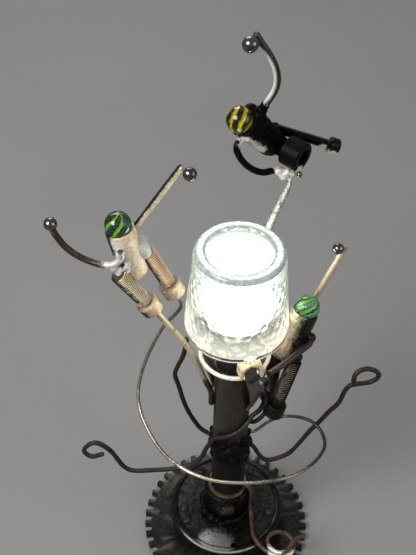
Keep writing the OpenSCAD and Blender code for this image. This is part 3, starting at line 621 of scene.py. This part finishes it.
def figure_steels(steel):
    """Steels of the figures' bodies, screws and hands."""
    metal(
        "warm_steel", steel.warm, (0.5, 0.36, 0.23), 120, 0.36, 0.5, 0.68, 0.2, 0.35,
        spots=[
            ((-57, 9, 300), 8.5, SPLASH_AND_LIGHT, 0.5), ((-70, -4, 295), 8.5, SPLASH_AND_LIGHT, 0.5),
            ((-66, -6, 303), 6, PALE, 0.5), ((-71, -2, 309), 5, PALE, 0.5),
            ((-69, -4.6, 298), 2.6, steel.soot_and_shade, 0.6),
        ],
        # painted shade, in the soot colour, on the flank turned from the bulb
        sides=[((-74.6, 7, 318), (-0.97, 0.1, -0.2), 1.2, steel.soot_and_shade, 0.6)],
    )
    metal(
        "figure_steel", steel.figure, (0.27, 0.205, 0.135), 110, 0.4, 0.32, 0.58, 0.5, 0.3,
        stretch=(1, 1, 0.5), spots=[
            ((28.5, 3, 228), 9, (0.85, 0.53, 0.26), 0.5), ((43.5, -1, 224), 8, steel.soot_and_shade, 0.45),
            # the last of these spots is a painted glint on the dark weld
            ((37, -3.5, 216), 7.5, steel.soot_and_shade, 0.45), ((36, -5.5, 220), 2.4, PAINTED_GLINT, 0.35),
        ],
        # painted shade on the flank turned from the bulb
        sides=[((44.9, 10.1, 250.6), (0.93, -0.26, -0.26), 2.8, (0.009, 0.0075, 0.006), 0.36)],
    )
    metal(
        "sooted_steel", steel.soot_and_shade, (0.005, 0.004, 0.0035), 130, 0.3, 0.42, 0.66, 0, 0.45,
        # painted light: the bulb's light on the body's lower edge
        spots=[
            ((0.5, 44.5, 352), 5, PALE, 0.5), ((5, 46.5, 347), 5.5, SPLASH_AND_LIGHT, 0.5),
            ((9.5, 50, 341.5), 5.5, PALE, 0.5),
        ],
        gloss=0.05,
    )
    threaded(
        "left_figure_front_leg", (0.05, 0.04, 0.026), clean=(0.95, 0.82, 0.57), stain=(0.7, 0.53, 0.32),
        # the second spot is painted shade on the head's lower flank
        spots=[((-54, 2.1, 257.5), 11, (0.5, 0.385, 0.25), 0.5), ((-58.8, -1.2, 253.6), 7, PAINTED_SHADE, 0.6)],
        # painted shade along the screw's lower side
        spatter=0, sides=[((-72.8, -6.4, 290), (-0.73, -0.48, -0.48), 1.5, PAINTED_SHADE, 0.6)], fill=0.1, **TAN
    )
    threaded(
        "left_figure_back_leg", (0.22, 0.105, 0.045), clean=(0.95, 0.74, 0.5), stain=(0.78, 0.54, 0.33),
        spots=[((-40.5, 11.9, 263), 11, (0.31, 0.255, 0.175), 0.5)], spatter=0,
        # painted shade along the screw's side turned from the light
        sides=[((-57.8, 9.1, 297), (-0.83, -0.386, -0.392), 1.6, (0.05, 0.033, 0.02), 0.6)],
        fill=0.1, **TAN
    )
    threaded(
        "right_figure_front_leg", (0.005, 0.004, 0.0035), clean=(0.48, 0.42, 0.32), stain=(0.1, 0.08, 0.06),
        spots=[((28.6, -11.5, 172.6), 15, (0.012, 0.01, 0.0085), 0.4)],
        # painted shade along the screw's side turned from the light
        sides=[((36, -6.9, 194.3), (0.967, -0.053, -0.249), 1.3, PAINTED_SHADE, 0.5)],
        spatter=0, **DARK
    )
    threaded(
        "right_figure_back_leg", (0.006, 0.005, 0.0045), clean=(0.07, 0.06, 0.05), stain=(0.02, 0.016, 0.013),
        **DARK
    )
    threaded(
        "top_figure_leg", (0.002, 0.0018, 0.0016), clean=(0.004, 0.0035, 0.003), stain=(0.012, 0.009, 0.007),
        # painted light: the bulb's light on the screw's lower side
        spots=[((49, 60.6, 335.6), 3.2, PALE, 0.5), ((55, 60, 332.5), 3.6, PALE, 0.5)], **DARK
    )
    metal(
        "sooted_screw", (0.0024, 0.0021, 0.002), (0.006, 0.005, 0.004), 200, 0.28, 0.4, 0.62, 0, 0.3,
        # painted light: the bulb's light on the boot's lower edge
        spots=[((36, 43.5, 331), 4.5, PALE, 0.5), ((31.5, 46, 330), 4.5, PALE, 0.5)], gloss=0.06,
    )
    metal("ball_steel", (0.19, 0.18, 0.17), (0.04, 0.034, 0.029), 190, 0.42, 0.1, 0.4, 1, 0.1)


def wire_steels(steel):
    """Steels of the wires, arms and supports."""
    metal(
        "bright_wire", steel.wire, (0.16, 0.137, 0.108), 60, 0.4, 0.26, 0.45, 0.85, 0.1,
        # painted highlight on the front of the wire, painted shade on its right
        spots=[
            ((-12, -52, 149), 30, (0.5, 0.46, 0.37), 0.24),
            ((62, -14, 145), 34, (0.04, 0.034, 0.028), 0.4),
        ],
        spatter=0,
    )
    metal("tan_rod", (0.62, 0.51, 0.36), (0.26, 0.18, 0.11), 190, 0.36, 0.4, 0.66, 0.4, 0.4)
    metal(
        "support_rod", (0.5, 0.42, 0.3), (0.24, 0.17, 0.105), 190, 0.36, 0.4, 0.66, 0.4, 0.4,
        spots=[
            ((-15, -4, 170), 14, (0.02, 0.016, 0.013), 0.5),
            ((-18, -4, 187), 9, (0.03, 0.024, 0.019), 0.5),
        ],
        spatter=0,
    )
    metal(
        "cream_rod", (0.74, 0.65, 0.48), (0.4, 0.3, 0.19), 190, 0.34, 0.4, 0.66, 0.3, 0.4,
        # painted shade on the upper side turned from the light
        sides=[((-60.95, 15.98, 310.58), (-0.74, 0.47, 0.475), 0.5, PAINTED_SHADE, 0.6)],
    )
    metal(
        "brown_rod", (0.045, 0.03, 0.021), (0.12, 0.085, 0.055), 170, 0.34, 0.36, 0.6, 0.5, 0.3,
        # painted highlight on the arm near the left figure's hip
        spots=[((-72, -4, 299), 9, PALE, 0.4)],
    )
    metal(
        "dark_rod", (0.03, 0.024, 0.019), (0.01, 0.008, 0.007), 170, 0.42, 0.22, 0.5, 0.3, 0.1,
        # painted highlight on the inner side of the bend
        highlight_bows=[((-9.5, 46.5, 391), 26.2, (0.88, 0.87, 0.83), 0.22)],
    )
    metal("rusty_wire", steel.rust, (0.022, 0.018, 0.015), 230, 0.5, 0.4, 0.7, 0.5, 0.6)
    metal(
        "coppery_wire", (0.09, 0.052, 0.035), (0.035, 0.024, 0.018), 230, 0.48, 0.36, 0.66, 0.6, 0.6,
        # painted highlights on the front of the wire
        spots=[((36, -48, 42), 7, PAINTED_GLINT, 0.3), ((48, -48, 38), 5, PAINTED_GLINT, 0.3)],
    )
    metal("hammered_steel", (0.6, 0.585, 0.54), (0.26, 0.22, 0.17), 260, 0.4, 0.26, 0.5, 0.8, 0.9)


def fitting_metals():
    """Metals of the small fittings."""
    metal("pale_weld", (0.72, 0.68, 0.6), (0.06, 0.047, 0.036), 300, 0.4, 0.4, 0.66, 0.5, 0.8)
    metal("saddle_tan", (0.86, 0.7, 0.46), (0.19, 0.12, 0.065), 150, 0.44, 0.42, 0.66, 0.4, 0.3)
    metal("strip_steel", (0.15, 0.135, 0.115), (0.04, 0.032, 0.026), 120, 0.45, 0.34, 0.6, 0.75, 0.35)
    metal("brass_contact", (0.72, 0.52, 0.2), (0.3, 0.19, 0.07), 200, 0.3, 0.25, 0.5, 0.95, 0.1)
    metal("bulb_cap_metal", (0.66, 0.65, 0.63), (0.35, 0.33, 0.3), 200, 0.25, 0.25, 0.45, 0.95, 0.1)


class MOONLAMP_OT_finishes(bpy.types.Operator):
    """Build every finish of the lamp"""

    bl_idname = "moonlamp.finishes"
    bl_label = "Finishes"

    def execute(self, context):
        settings = context.scene.moon_lamp
        steel, marbles = settings.steel, settings.marbles
        for build in (worn_metal_group, spot_group, side_group, rings_group, thread_group):
            build()
        for build in (base_steels, figure_steels, wire_steels):
            build(steel)
        fitting_metals()
        cup_finish()
        plain("black_plastic", (0.018, 0.017, 0.016), (0.05, 0.047, 0.044), 150, 0.38)
        plain("white_plastic", (0.74, 0.73, 0.69), (0.6, 0.58, 0.53), 150, 0.36)
        plain("black_rubber", (0.02, 0.02, 0.02), (0.05, 0.05, 0.05), 220, 0.62)
        plain("red_lead", (0.38, 0.04, 0.025), (0.3, 0.05, 0.035), 300, 0.42)
        glass("clear_glass", settings.glass.tint, 0.09)
        frosted_finish(settings.glass)
        ring_finish(settings.glass)
        glass("green_glass", (0.62, 0.86, 0.74), 0.04)
        glass("aqua_glass", (0.74, 0.96, 0.88), 0.04)
        glass("yellow_glass", (0.92, 0.88, 0.25), 0.04)
        globe_finish(settings.glass)
        for name, crest, edge, valley, wide in (
            ("green_swirl", marbles.left, (0.001, 0.006, 0.004), (0.001, 0.06, 0.05), 0.4),
            ("lime_swirl", marbles.right, (0.006, 0.045, 0.026), (0.22, 0.55, 0.45), 0.1),
            ("yellow_swirl", marbles.top, (0.03, 0.025, 0.002), (0.003, 0.003, 0.001), 0.2),
        ):
            swirl_finish(name, marbles.lobes, crest, edge, valley, wide)
        return {"FINISHED"}


# Ways of shaping


def only(piece):
    """Selects one piece and makes it active."""
    bpy.ops.object.select_all(action="DESELECT")
    piece.select_set(True)
    bpy.context.view_layer.objects.active = piece


def edit(piece):
    """Opens a piece's mesh with all of it selected."""
    only(piece)
    bpy.ops.object.mode_set(mode="EDIT")
    bpy.ops.mesh.select_all(action="SELECT")


def close():
    """Closes the mesh that is open."""
    bpy.ops.object.mode_set(mode="OBJECT")


def shaped(piece, kind, **settings):
    """Adds a modifier and applies it."""
    modifier = piece.modifiers.new(kind.lower(), kind)
    for key, value in settings.items():
        setattr(modifier, key, value)
    only(piece)
    bpy.ops.object.modifier_apply(modifier=modifier.name)
    return piece


def dented(piece, size, height):
    """Uneven dents and swellings, as a hammer and heat leave them."""
    cloud = bpy.data.textures.new(piece.name + "_dents", "CLOUDS")
    cloud.noise_scale = size
    cloud.noise_depth = 2
    return shaped(piece, "DISPLACE", texture=cloud, strength=height, mid_level=0.5, texture_coords="LOCAL")


def merged_copy(node, name):
    """A copy of a node's mesh, its loose triangles merged, in a piece of its own."""
    piece = bpy.data.objects.new(name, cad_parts[node].data.copy())
    bpy.context.scene.collection.objects.link(piece)
    only(piece)
    if piece.data.has_custom_normals:
        bpy.ops.mesh.customdata_custom_splitnormals_clear()
    edit(piece)
    bpy.ops.mesh.remove_doubles(threshold=1e-6)
    close()
    return piece


def smooth(piece, angle=None):
    """Smooth shading all over, or up to an angle."""
    only(piece)
    if angle is None:
        bpy.ops.object.shade_smooth()
    else:
        bpy.ops.object.shade_smooth_by_angle(angle=math.radians(angle))


def paint(piece, finish):
    """Gives a piece one finish."""
    if finish not in FINISHES:
        raise RuntimeError("there is no finish named " + finish)
    piece.data.materials.clear()
    piece.data.materials.append(FINISHES[finish])


def dress(finish, *nodes):
    """Gives nodes whose shape is right a better finish."""
    for node in nodes:
        paint(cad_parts[node], finish)


def settle(piece, finish, body, *nodes):
    """Finishes a piece, lets it ride on its body and stand for its nodes."""
    paint(piece, finish)
    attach(piece, body)
    if nodes:
        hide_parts(*nodes)
    return piece


def bevelled(node, finish, width, sharp=35, dents=0.0):
    """A copy of a node with its sharp edges broken, as filing and wear break them."""
    piece = merged_copy(node, node + "_worn")
    edit(piece)
    bpy.ops.mesh.dissolve_limited(angle_limit=math.radians(0.5))
    bpy.ops.mesh.select_all(action="DESELECT")
    bpy.ops.mesh.edges_select_sharp(sharpness=math.radians(sharp))
    bpy.ops.mesh.bevel(offset=width, segments=2, affect="EDGES", clamp_overlap=True)
    close()
    if dents:
        dented(piece, 0.012, dents)
    smooth(piece, sharp)
    return settle(piece, finish, BASE, node)


# bent rods: node, finish, radius in mm and share of the dents' height
RODS = (
    ("orbit_wire", "bright_wire", 1.2, 0.25),
    ("wrapped_tendril", "rusty_wire", 1.7, 1.2),
    ("right_tendril", "rusty_wire", 1.7, 1.2),
    ("back_tendril", "rusty_wire", 1.7, 1.2),
    ("front_tendril", "coppery_wire", 1.7, 1.2),
    ("left_figure_raised_arm", "cream_rod", 2.0, 0.8),
    ("left_figure_low_arm", "brown_rod", 2.0, 0.8),
    ("left_figure_support", "support_rod", 2.0, 0.8),
    ("right_figure_raised_arm", "tan_rod", 2.0, 0.8),
    ("right_figure_low_arm", "brown_rod", 2.0, 0.8),
    ("right_figure_support", "rusty_wire", 1.6, 0.8),
    ("top_figure_raised_arm", "dark_rod", 2.0, 0.3),
    ("top_figure_low_arm", "sooted_steel", 2.0, 0.8),
    ("top_figure_support", "hammered_steel", 2.4, 2.2),
)


def bent_rod(node, finish, radius, dent):
    """A bent rod: round, with uneven swellings along its length."""
    piece = merged_copy(node, node + "_rod")
    edit(piece)
    limit = math.radians(80)
    bpy.ops.mesh.tris_convert_to_quads(face_threshold=limit, shape_threshold=limit)
    close()
    shaped(piece, "DISPLACE", strength=radius * 0.105, mid_level=0.0)
    shaped(piece, "SUBSURF", levels=2, render_levels=2)
    dented(piece, 0.007, dent)
    smooth(piece)
    return settle(piece, finish, BASE, node)


# lumps in the welds and in the welded bodies: place and radius in mm
BEADS = {
    "boss_weld": [(16, -11, 33.5, 3.4), (-4, -20.5, 33.6, 3.2), (-17, -10, 33.4, 3.4)],
    "post_weld": [
        (11, -9, 121, 3.6), (2, -14, 113, 3.2), (-9, -10.5, 122, 3.4), (12.5, -5, 111, 3),
        (4, -12.6, 127, 3.2), (9.6, -9, 130.5, 3), (-5, -12.2, 128, 2.8), (-11.5, -6, 110, 3.2),
        (6.6, -11.6, 105.6, 3), (11.6, -6, 103, 2.8), (-2, -13.2, 106, 2.6), (12.8, 2, 126, 3),
        (-12, 5, 124, 3), (2, 13, 122, 3.2), (-6, 12, 111, 3),
    ],
    "left_figure_body": [
        (-73, -2.5, 294.5, 3.4), (-66.4, -2.6, 295.5, 3), (-69.5, -4.4, 289.5, 3),
        (-69.2, -2.4, 304.6, 2.6), (-55.6, 8, 297, 4), (-57.4, 12, 302.6, 3.4), (-61.5, 4.6, 302, 3),
    ],
    "right_figure_body": [
        (40.6, -3.8, 218, 3.4), (35, -4.4, 216.6, 3.2), (30, -0.5, 216, 3.4), (48.4, 2, 230.4, 3.4),
        (46.4, 14.6, 240.4, 3.2), (44.6, -2.6, 227, 2.6),
    ],
    "top_figure_body": [
        (8, 53, 363.6, 5), (4.6, 55.2, 365, 4.6), (12.6, 52.4, 358.6, 4.2), (0.2, 45.4, 355.6, 3.2),
        (9.2, 51.4, 365.4, 4), (10.4, 50.5, 369, 3.2), (11.9, 49.6, 372.4, 2.7), (15.6, 54.4, 354, 4),
        (20, 66, 346.4, 3.6), (23, 55.4, 338.6, 4),
    ],
    "top_figure_weld": [(25.5, 45.2, 327, 2.8), (29.5, 46.4, 325.6, 2.6)],
}


def bead(x, y, z, radius):
    """A round lump of weld, to be melted into a larger piece."""
    place = Vector((x, y, z)) * MM
    bpy.ops.mesh.primitive_ico_sphere_add(subdivisions=3, radius=radius * MM, location=place)
    bpy.ops.object.transform_apply(location=True, rotation=True, scale=True)
    return bpy.context.active_object


def melted(node, kind, finish, voxel, size, height):
    """A copy of a node with lumps of weld melted into it and an uneven skin."""
    piece = merged_copy(node, node + kind)
    lumps = [bead(*row) for row in BEADS[node]]
    only(piece)
    for lump in lumps:
        lump.select_set(True)
    bpy.ops.object.join()
    shaped(piece, "REMESH", mode="VOXEL", voxel_size=voxel)
    shaped(piece, "SMOOTH", factor=0.5, iterations=3)
    dented(piece, size, height)
    smooth(piece)
    return settle(piece, finish, BASE, node)


class MOONLAMP_OT_base(bpy.types.Operator):
    """Dress the sprocket, the drum and its rivets, and the boss"""

    bl_idname = "moonlamp.base"
    bl_label = "Base"

    def execute(self, context):
        bevelled("base_sprocket", "oiled_iron", 0.45 * MM, 30)
        dress("worn_drum_steel", "drum_housing")
        dress("rivet_steel", "drum_rivets")
        bevelled("post_boss", "boss_iron", 0.5 * MM)
        dress("collar_steel", "boss_collar")
        dress("black_rubber", "cable_grommet")
        return {"FINISHED"}


class MOONLAMP_OT_post(bpy.types.Operator):
    """Dress the post and the welds on it"""

    bl_idname = "moonlamp.post"
    bl_label = "Post and welds"

    def execute(self, context):
        dress("grey_tube_steel", "post_tube", "post_cap")
        for node in ("boss_weld", "post_weld"):
            melted(node, "_run", "dark_weld", 0.5 * MM, 2.8 * MM, 1.3 * MM)
        return {"FINISHED"}


class MOONLAMP_OT_wires(bpy.types.Operator):
    """Round the orbit wire, the tendrils, the arms and the supports"""

    bl_idname = "moonlamp.wires"
    bl_label = "Wires and rods"

    def execute(self, context):
        dent = context.scene.moon_lamp.steel.dent
        for node, finish, radius, share in RODS:
            bent_rod(node, finish, radius * MM, dent * share)
        return {"FINISHED"}


class MOONLAMP_OT_figures(bpy.types.Operator):
    """Dress the three figures: bodies with their welds, screw legs and ball hands"""

    bl_idname = "moonlamp.figures"
    bl_label = "Figures"

    def execute(self, context):
        for side, finish in (("left", "warm_steel"), ("right", "figure_steel"), ("top", "sooted_steel")):
            melted(side + "_figure_body", "_tube", finish, 0.42 * MM, 3.6 * MM, 0.5 * MM)
        for leg in LEGS:
            dress(leg + "_steel", leg)
        dress("sooted_screw", "top_figure_boot")
        dress("ball_steel", "left_figure_hands", "right_figure_hands", "top_figure_hands")
        melted("top_figure_weld", "_run", "pale_weld", 0.35 * MM, 2.2 * MM, 1.0 * MM)
        return {"FINISHED"}


def swirl_core(name, centre, axis, turn, radius, lobes):
    """The lobed and twisted core of coloured glass inside a marble."""
    bpy.ops.mesh.primitive_uv_sphere_add(segments=96, ring_count=32, radius=1)
    core = bpy.context.active_object
    core.name = name
    core.data.uv_layers.active.name = "swirl"
    for vertex in core.data.vertices:
        x, y, z = vertex.co
        around = math.atan2(y, x)
        reach = math.hypot(x, y) * (0.70 + 0.22 * math.cos(lobes * around))
        angle = around + turn + 0.9 * z
        vertex.co = Vector((reach * math.cos(angle), reach * math.sin(angle), 0.92 * z)) * radius
    upright = Vector((0, 0, 1)).rotation_difference(axis).to_matrix().to_4x4()
    core.data.transform(Matrix.Translation(centre) @ upright)
    smooth(core)
    return core


class MOONLAMP_OT_marbles(bpy.types.Operator):
    """Dress the marbles: clear coloured glass with a twisted core inside"""

    bl_idname = "moonlamp.marbles"
    bl_label = "Marbles"

    def execute(self, context):
        lobes = context.scene.moon_lamp.marbles.lobes
        for side, skin, finish, axis, turn in (
            ("left", "green_glass", "green_swirl", (0.1, 0.1, 0.95), 0.4),
            ("right", "aqua_glass", "lime_swirl", (0.5, 0.35, 0.78), 0.2),
            ("top", "yellow_glass", "yellow_swirl", (-0.1, 0.6, 0.74), 0.7),
        ):
            node = side + "_figure_marble"
            low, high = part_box(node)
            radius = (high.z - low.z) / 2
            centre, heading = (low + high) / 2, Vector(axis).normalized()
            core = swirl_core(side + "_marble_core", centre, heading, turn, radius, lobes)
            settle(core, finish, BASE)
            dress(skin, node)
        return {"FINISHED"}


class MOONLAMP_OT_glass(bpy.types.Operator):
    """Blow the tumbler with its honeycomb of dimples, and light the bulb"""

    bl_idname = "moonlamp.glass"
    bl_label = "Glass and bulb"

    def execute(self, context):
        settings = context.scene.moon_lamp.glass
        low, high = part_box("glass_shade")
        mouth_r, mouth_z, foot_z = high.x, low.z, high.z
        wall, foot_r = settings.wall, FOOT_RADIUS
        start_z, end_z = mouth_z + 2.4 * MM, foot_z - 4.6 * MM
        rise, taper = end_z - start_z, foot_r + 0.3 * MM - mouth_r
        outline = [
            (mouth_r - wall + 0.9 * MM, mouth_z),
            (mouth_r - 0.9 * MM, mouth_z),
            (mouth_r - 0.25 * MM, mouth_z + 0.3 * MM),
        ]
        for row in range(WALL_ROWS + 1):
            share = row / WALL_ROWS
            outline.append((mouth_r + taper * share, start_z + rise * share))
        outline += [(foot_r - inset * MM, foot_z - drop * MM) for inset, drop in FOOT_OUTSIDE]
        outline += [(0, foot_z - 1.4 * MM), (0, foot_z - 7 * MM)]
        outline += [(foot_r - inset * MM, foot_z - drop * MM) for inset, drop in FOOT_INSIDE]
        for share in (0.82, 0.6, 0.4, 0.2):
            outline.append((mouth_r + taper * share - wall, start_z + rise * share))
        outline += [(mouth_r - wall, mouth_z + 1.6 * MM), (mouth_r - wall + 0.3 * MM, mouth_z + 0.4 * MM)]
        count = len(outline)
        mesh = bpy.data.meshes.new("dimpled_tumbler")
        mesh.from_pydata([(r, 0, z) for r, z in outline], [(i, (i + 1) % count) for i in range(count)], [])
        piece = bpy.data.objects.new("dimpled_tumbler", mesh)
        context.scene.collection.objects.link(piece)
        edit(piece)
        steps = settings.dimples_round * 12
        bpy.ops.mesh.spin(steps=steps, angle=math.tau, center=(0, 0, 0), axis=(0, 0, 1))
        bpy.ops.mesh.select_all(action="SELECT")
        bpy.ops.mesh.remove_doubles(threshold=2e-6)
        bpy.ops.mesh.normals_make_consistent(inside=False)
        close()
        across = math.tau * (mouth_r + taper / 2) / settings.dimples_round
        pitch = across * math.sqrt(0.75)
        for vertex in piece.data.vertices:
            x, y, z = vertex.co
            radius = math.hypot(x, y)
            share = (z - start_z) / rise
            if not 0 <= share <= 1 or radius < mouth_r + taper * share - 0.2 * wall:
                continue
            turn = math.atan2(y, x) / math.tau * settings.dimples_round
            level = (z - start_z) / pitch - 0.4
            nearest = 9.0
            for row in (math.floor(level), math.floor(level) + 1):
                off = turn - 0.5 * (row % 2)
                nearest = min(nearest, math.hypot(off - round(off), (level - row) * math.sqrt(0.75)))
            fade = min(1.0, share * 12, (1 - share) * 6)
            depth = settings.dimple_depth * (0.5 + 0.5 * math.cos(math.pi * min(1.0, nearest / 0.6))) * fade
            vertex.co = (x * (radius - depth) / radius, y * (radius - depth) / radius, z)
        smooth(piece)
        settle(piece, "clear_glass", "shade", "glass_shade")
        piece.data.materials.append(FINISHES["frosted_glass_painted_glow"])
        piece.data.materials.append(FINISHES["ground_ring_painted_glow"])
        for face in piece.data.polygons:
            x, y, z = face.center
            share = (z - start_z) / rise
            inner = mouth_r + taper * share - 0.5 * wall
            if mouth_z + 2 * MM < z < foot_z - 5.5 * MM and math.hypot(x, y) < inner:
                face.material_index = 1
            elif z > foot_z - 2.6 * MM and math.hypot(x, y) > foot_r - 7.1 * MM:
                face.material_index = 2
        dress("lit_globe", "bulb_globe")
        dress("white_plastic", "bulb_collar")
        dress("bulb_cap_metal", "bulb_cap", "bulb_tip")
        return {"FINISHED"}


class MOONLAMP_OT_holder(bpy.types.Operator):
    """Dress the lamp cup, the holder and what is hidden inside the post"""

    bl_idname = "moonlamp.holder"
    bl_label = "Lamp holder"

    def execute(self, context):
        dress("pale_enamel", "lamp_cup")
        dress("black_plastic", "holder_body")
        dress("brass_contact", "holder_sleeve", "holder_contact", "threaded_nipple")
        dress("brass_contact", "cap_nut", "terminal_screws")
        dress("white_plastic", "terminal_block")
        dress("red_lead", "lamp_leads")
        return {"FINISHED"}


class MOONLAMP_OT_brackets(bpy.types.Operator):
    """Dress the three brackets and the saddles that the glass rests on"""

    bl_idname = "moonlamp.brackets"
    bl_label = "Brackets"

    def execute(self, context):
        for side in ("front", "right", "left"):
            bevelled("bracket_" + side, "strip_steel", 0.35 * MM, 30, 0.3 * MM)
            bevelled("saddle_" + side, "saddle_tan", 0.4 * MM)
        return {"FINISHED"}


class MOONLAMP_OT_stage(bpy.types.Operator):
    """Set up the floor, the soft light and the camera"""

    bl_idname = "moonlamp.stage"
    bl_label = "Stage"

    def execute(self, context):
        scene, settings = context.scene, context.scene.moon_lamp.stage
        bpy.ops.mesh.primitive_plane_add(size=FLOOR_SIDE)
        floor = context.active_object
        floor.name = "floor"
        shader, place = blank("floor_paper")
        soft = ramp(noise(place, 3.0, 2.0), 0.3, 0.7)
        tone = tuple(settings.floor)
        feed(mix_colour(soft, tone, tuple(c * 0.96 for c in tone)), shader["Base Color"])
        shader["Roughness"].default_value = 0.9
        shader["Specular IOR Level"].default_value = 0.2
        paint(floor, "floor_paper")
        world = bpy.data.worlds.new("soft_room")
        world.use_nodes = True
        room = world.node_tree.nodes["Background"].inputs["Color"]
        room.default_value = (ROOM_GREY, ROOM_GREY, ROOM_GREY, 1)
        scene.world = world
        target = Vector(AIM)
        for name, place, size, power in (
            ("key", (-0.9, -0.7, 1.3), 0.9, settings.key),
            ("fill", (1.2, -0.6, 0.9), 1.1, settings.fill),
            ("back", (-0.3, 1.3, 1.2), 0.9, settings.fill * 1.5),
        ):
            lamp = bpy.data.lights.new(name + "_light", "AREA")
            lamp.energy = power
            lamp.shape = "DISK"
            lamp.size = size
            holder = bpy.data.objects.new(name + "_light", lamp)
            scene.collection.objects.link(holder)
            holder.location = place
            holder.rotation_euler = (target - Vector(place)).to_track_quat("-Z", "Y").to_euler()
        camera = bpy.data.cameras.new("camera")
        camera.lens = settings.lens
        camera.sensor_width = 36
        camera.clip_start = 0.01
        holder = bpy.data.objects.new("camera", camera)
        scene.collection.objects.link(holder)
        pitch, roll = settings.pitch, settings.roll
        ahead = Vector((0, math.cos(pitch), -math.sin(pitch)))
        right = Vector((1, 0, 0))
        up = right.cross(ahead)
        across = right * math.cos(roll) + up * math.sin(roll)
        upright = up * math.cos(roll) - right * math.sin(roll)
        axes = Matrix((across, upright, -ahead))
        holder.matrix_world = Matrix.Translation(settings.camera_place) @ axes.transposed().to_4x4()
        scene.camera = holder
        scene.view_settings.view_transform = "Standard"
        return {"FINISHED"}


OPERATORS = (
    MOONLAMP_OT_finishes,
    MOONLAMP_OT_base,
    MOONLAMP_OT_post,
    MOONLAMP_OT_wires,
    MOONLAMP_OT_figures,
    MOONLAMP_OT_marbles,
    MOONLAMP_OT_glass,
    MOONLAMP_OT_holder,
    MOONLAMP_OT_brackets,
    MOONLAMP_OT_stage,
)


class MOONLAMP_PT_panel(bpy.types.Panel):
    """The lamp's settings and steps"""

    bl_idname = "MOONLAMP_PT_panel"
    bl_label = "Moon lamp"
    bl_space_type = "VIEW_3D"
    bl_region_type = "UI"
    bl_category = "Moon lamp"

    def draw(self, context):
        layout, settings = self.layout, context.scene.moon_lamp
        for part in ("glass", "steel", "marbles", "stage"):
            box = layout.box()
            box.label(text=part.capitalize())
            group = getattr(settings, part)
            for name in group.__annotations__:
                box.prop(group, name)
        for step in OPERATORS:
            layout.operator(step.bl_idname)


GROUP_CLASSES = (MoonLampGlass, MoonLampSteel, MoonLampMarbles, MoonLampStage, MoonLampSettings)
CLASSES = (*GROUP_CLASSES, *OPERATORS, MOONLAMP_PT_panel)


def register():
    for cls in CLASSES:
        bpy.utils.register_class(cls)
    bpy.types.Scene.moon_lamp = PointerProperty(type=MoonLampSettings)


def unregister():
    del bpy.types.Scene.moon_lamp
    for cls in reversed(CLASSES):
        bpy.utils.unregister_class(cls)


def main():
    """Registers the add-on and makes every piece in order."""
    register()
    make = bpy.ops.moonlamp
    make.finishes()
    make.base()
    make.post()
    make.wires()
    make.figures()
    make.marbles()
    make.glass()
    make.holder()
    make.brackets()
    make.stage()


if __name__ == "__main__":
    main()
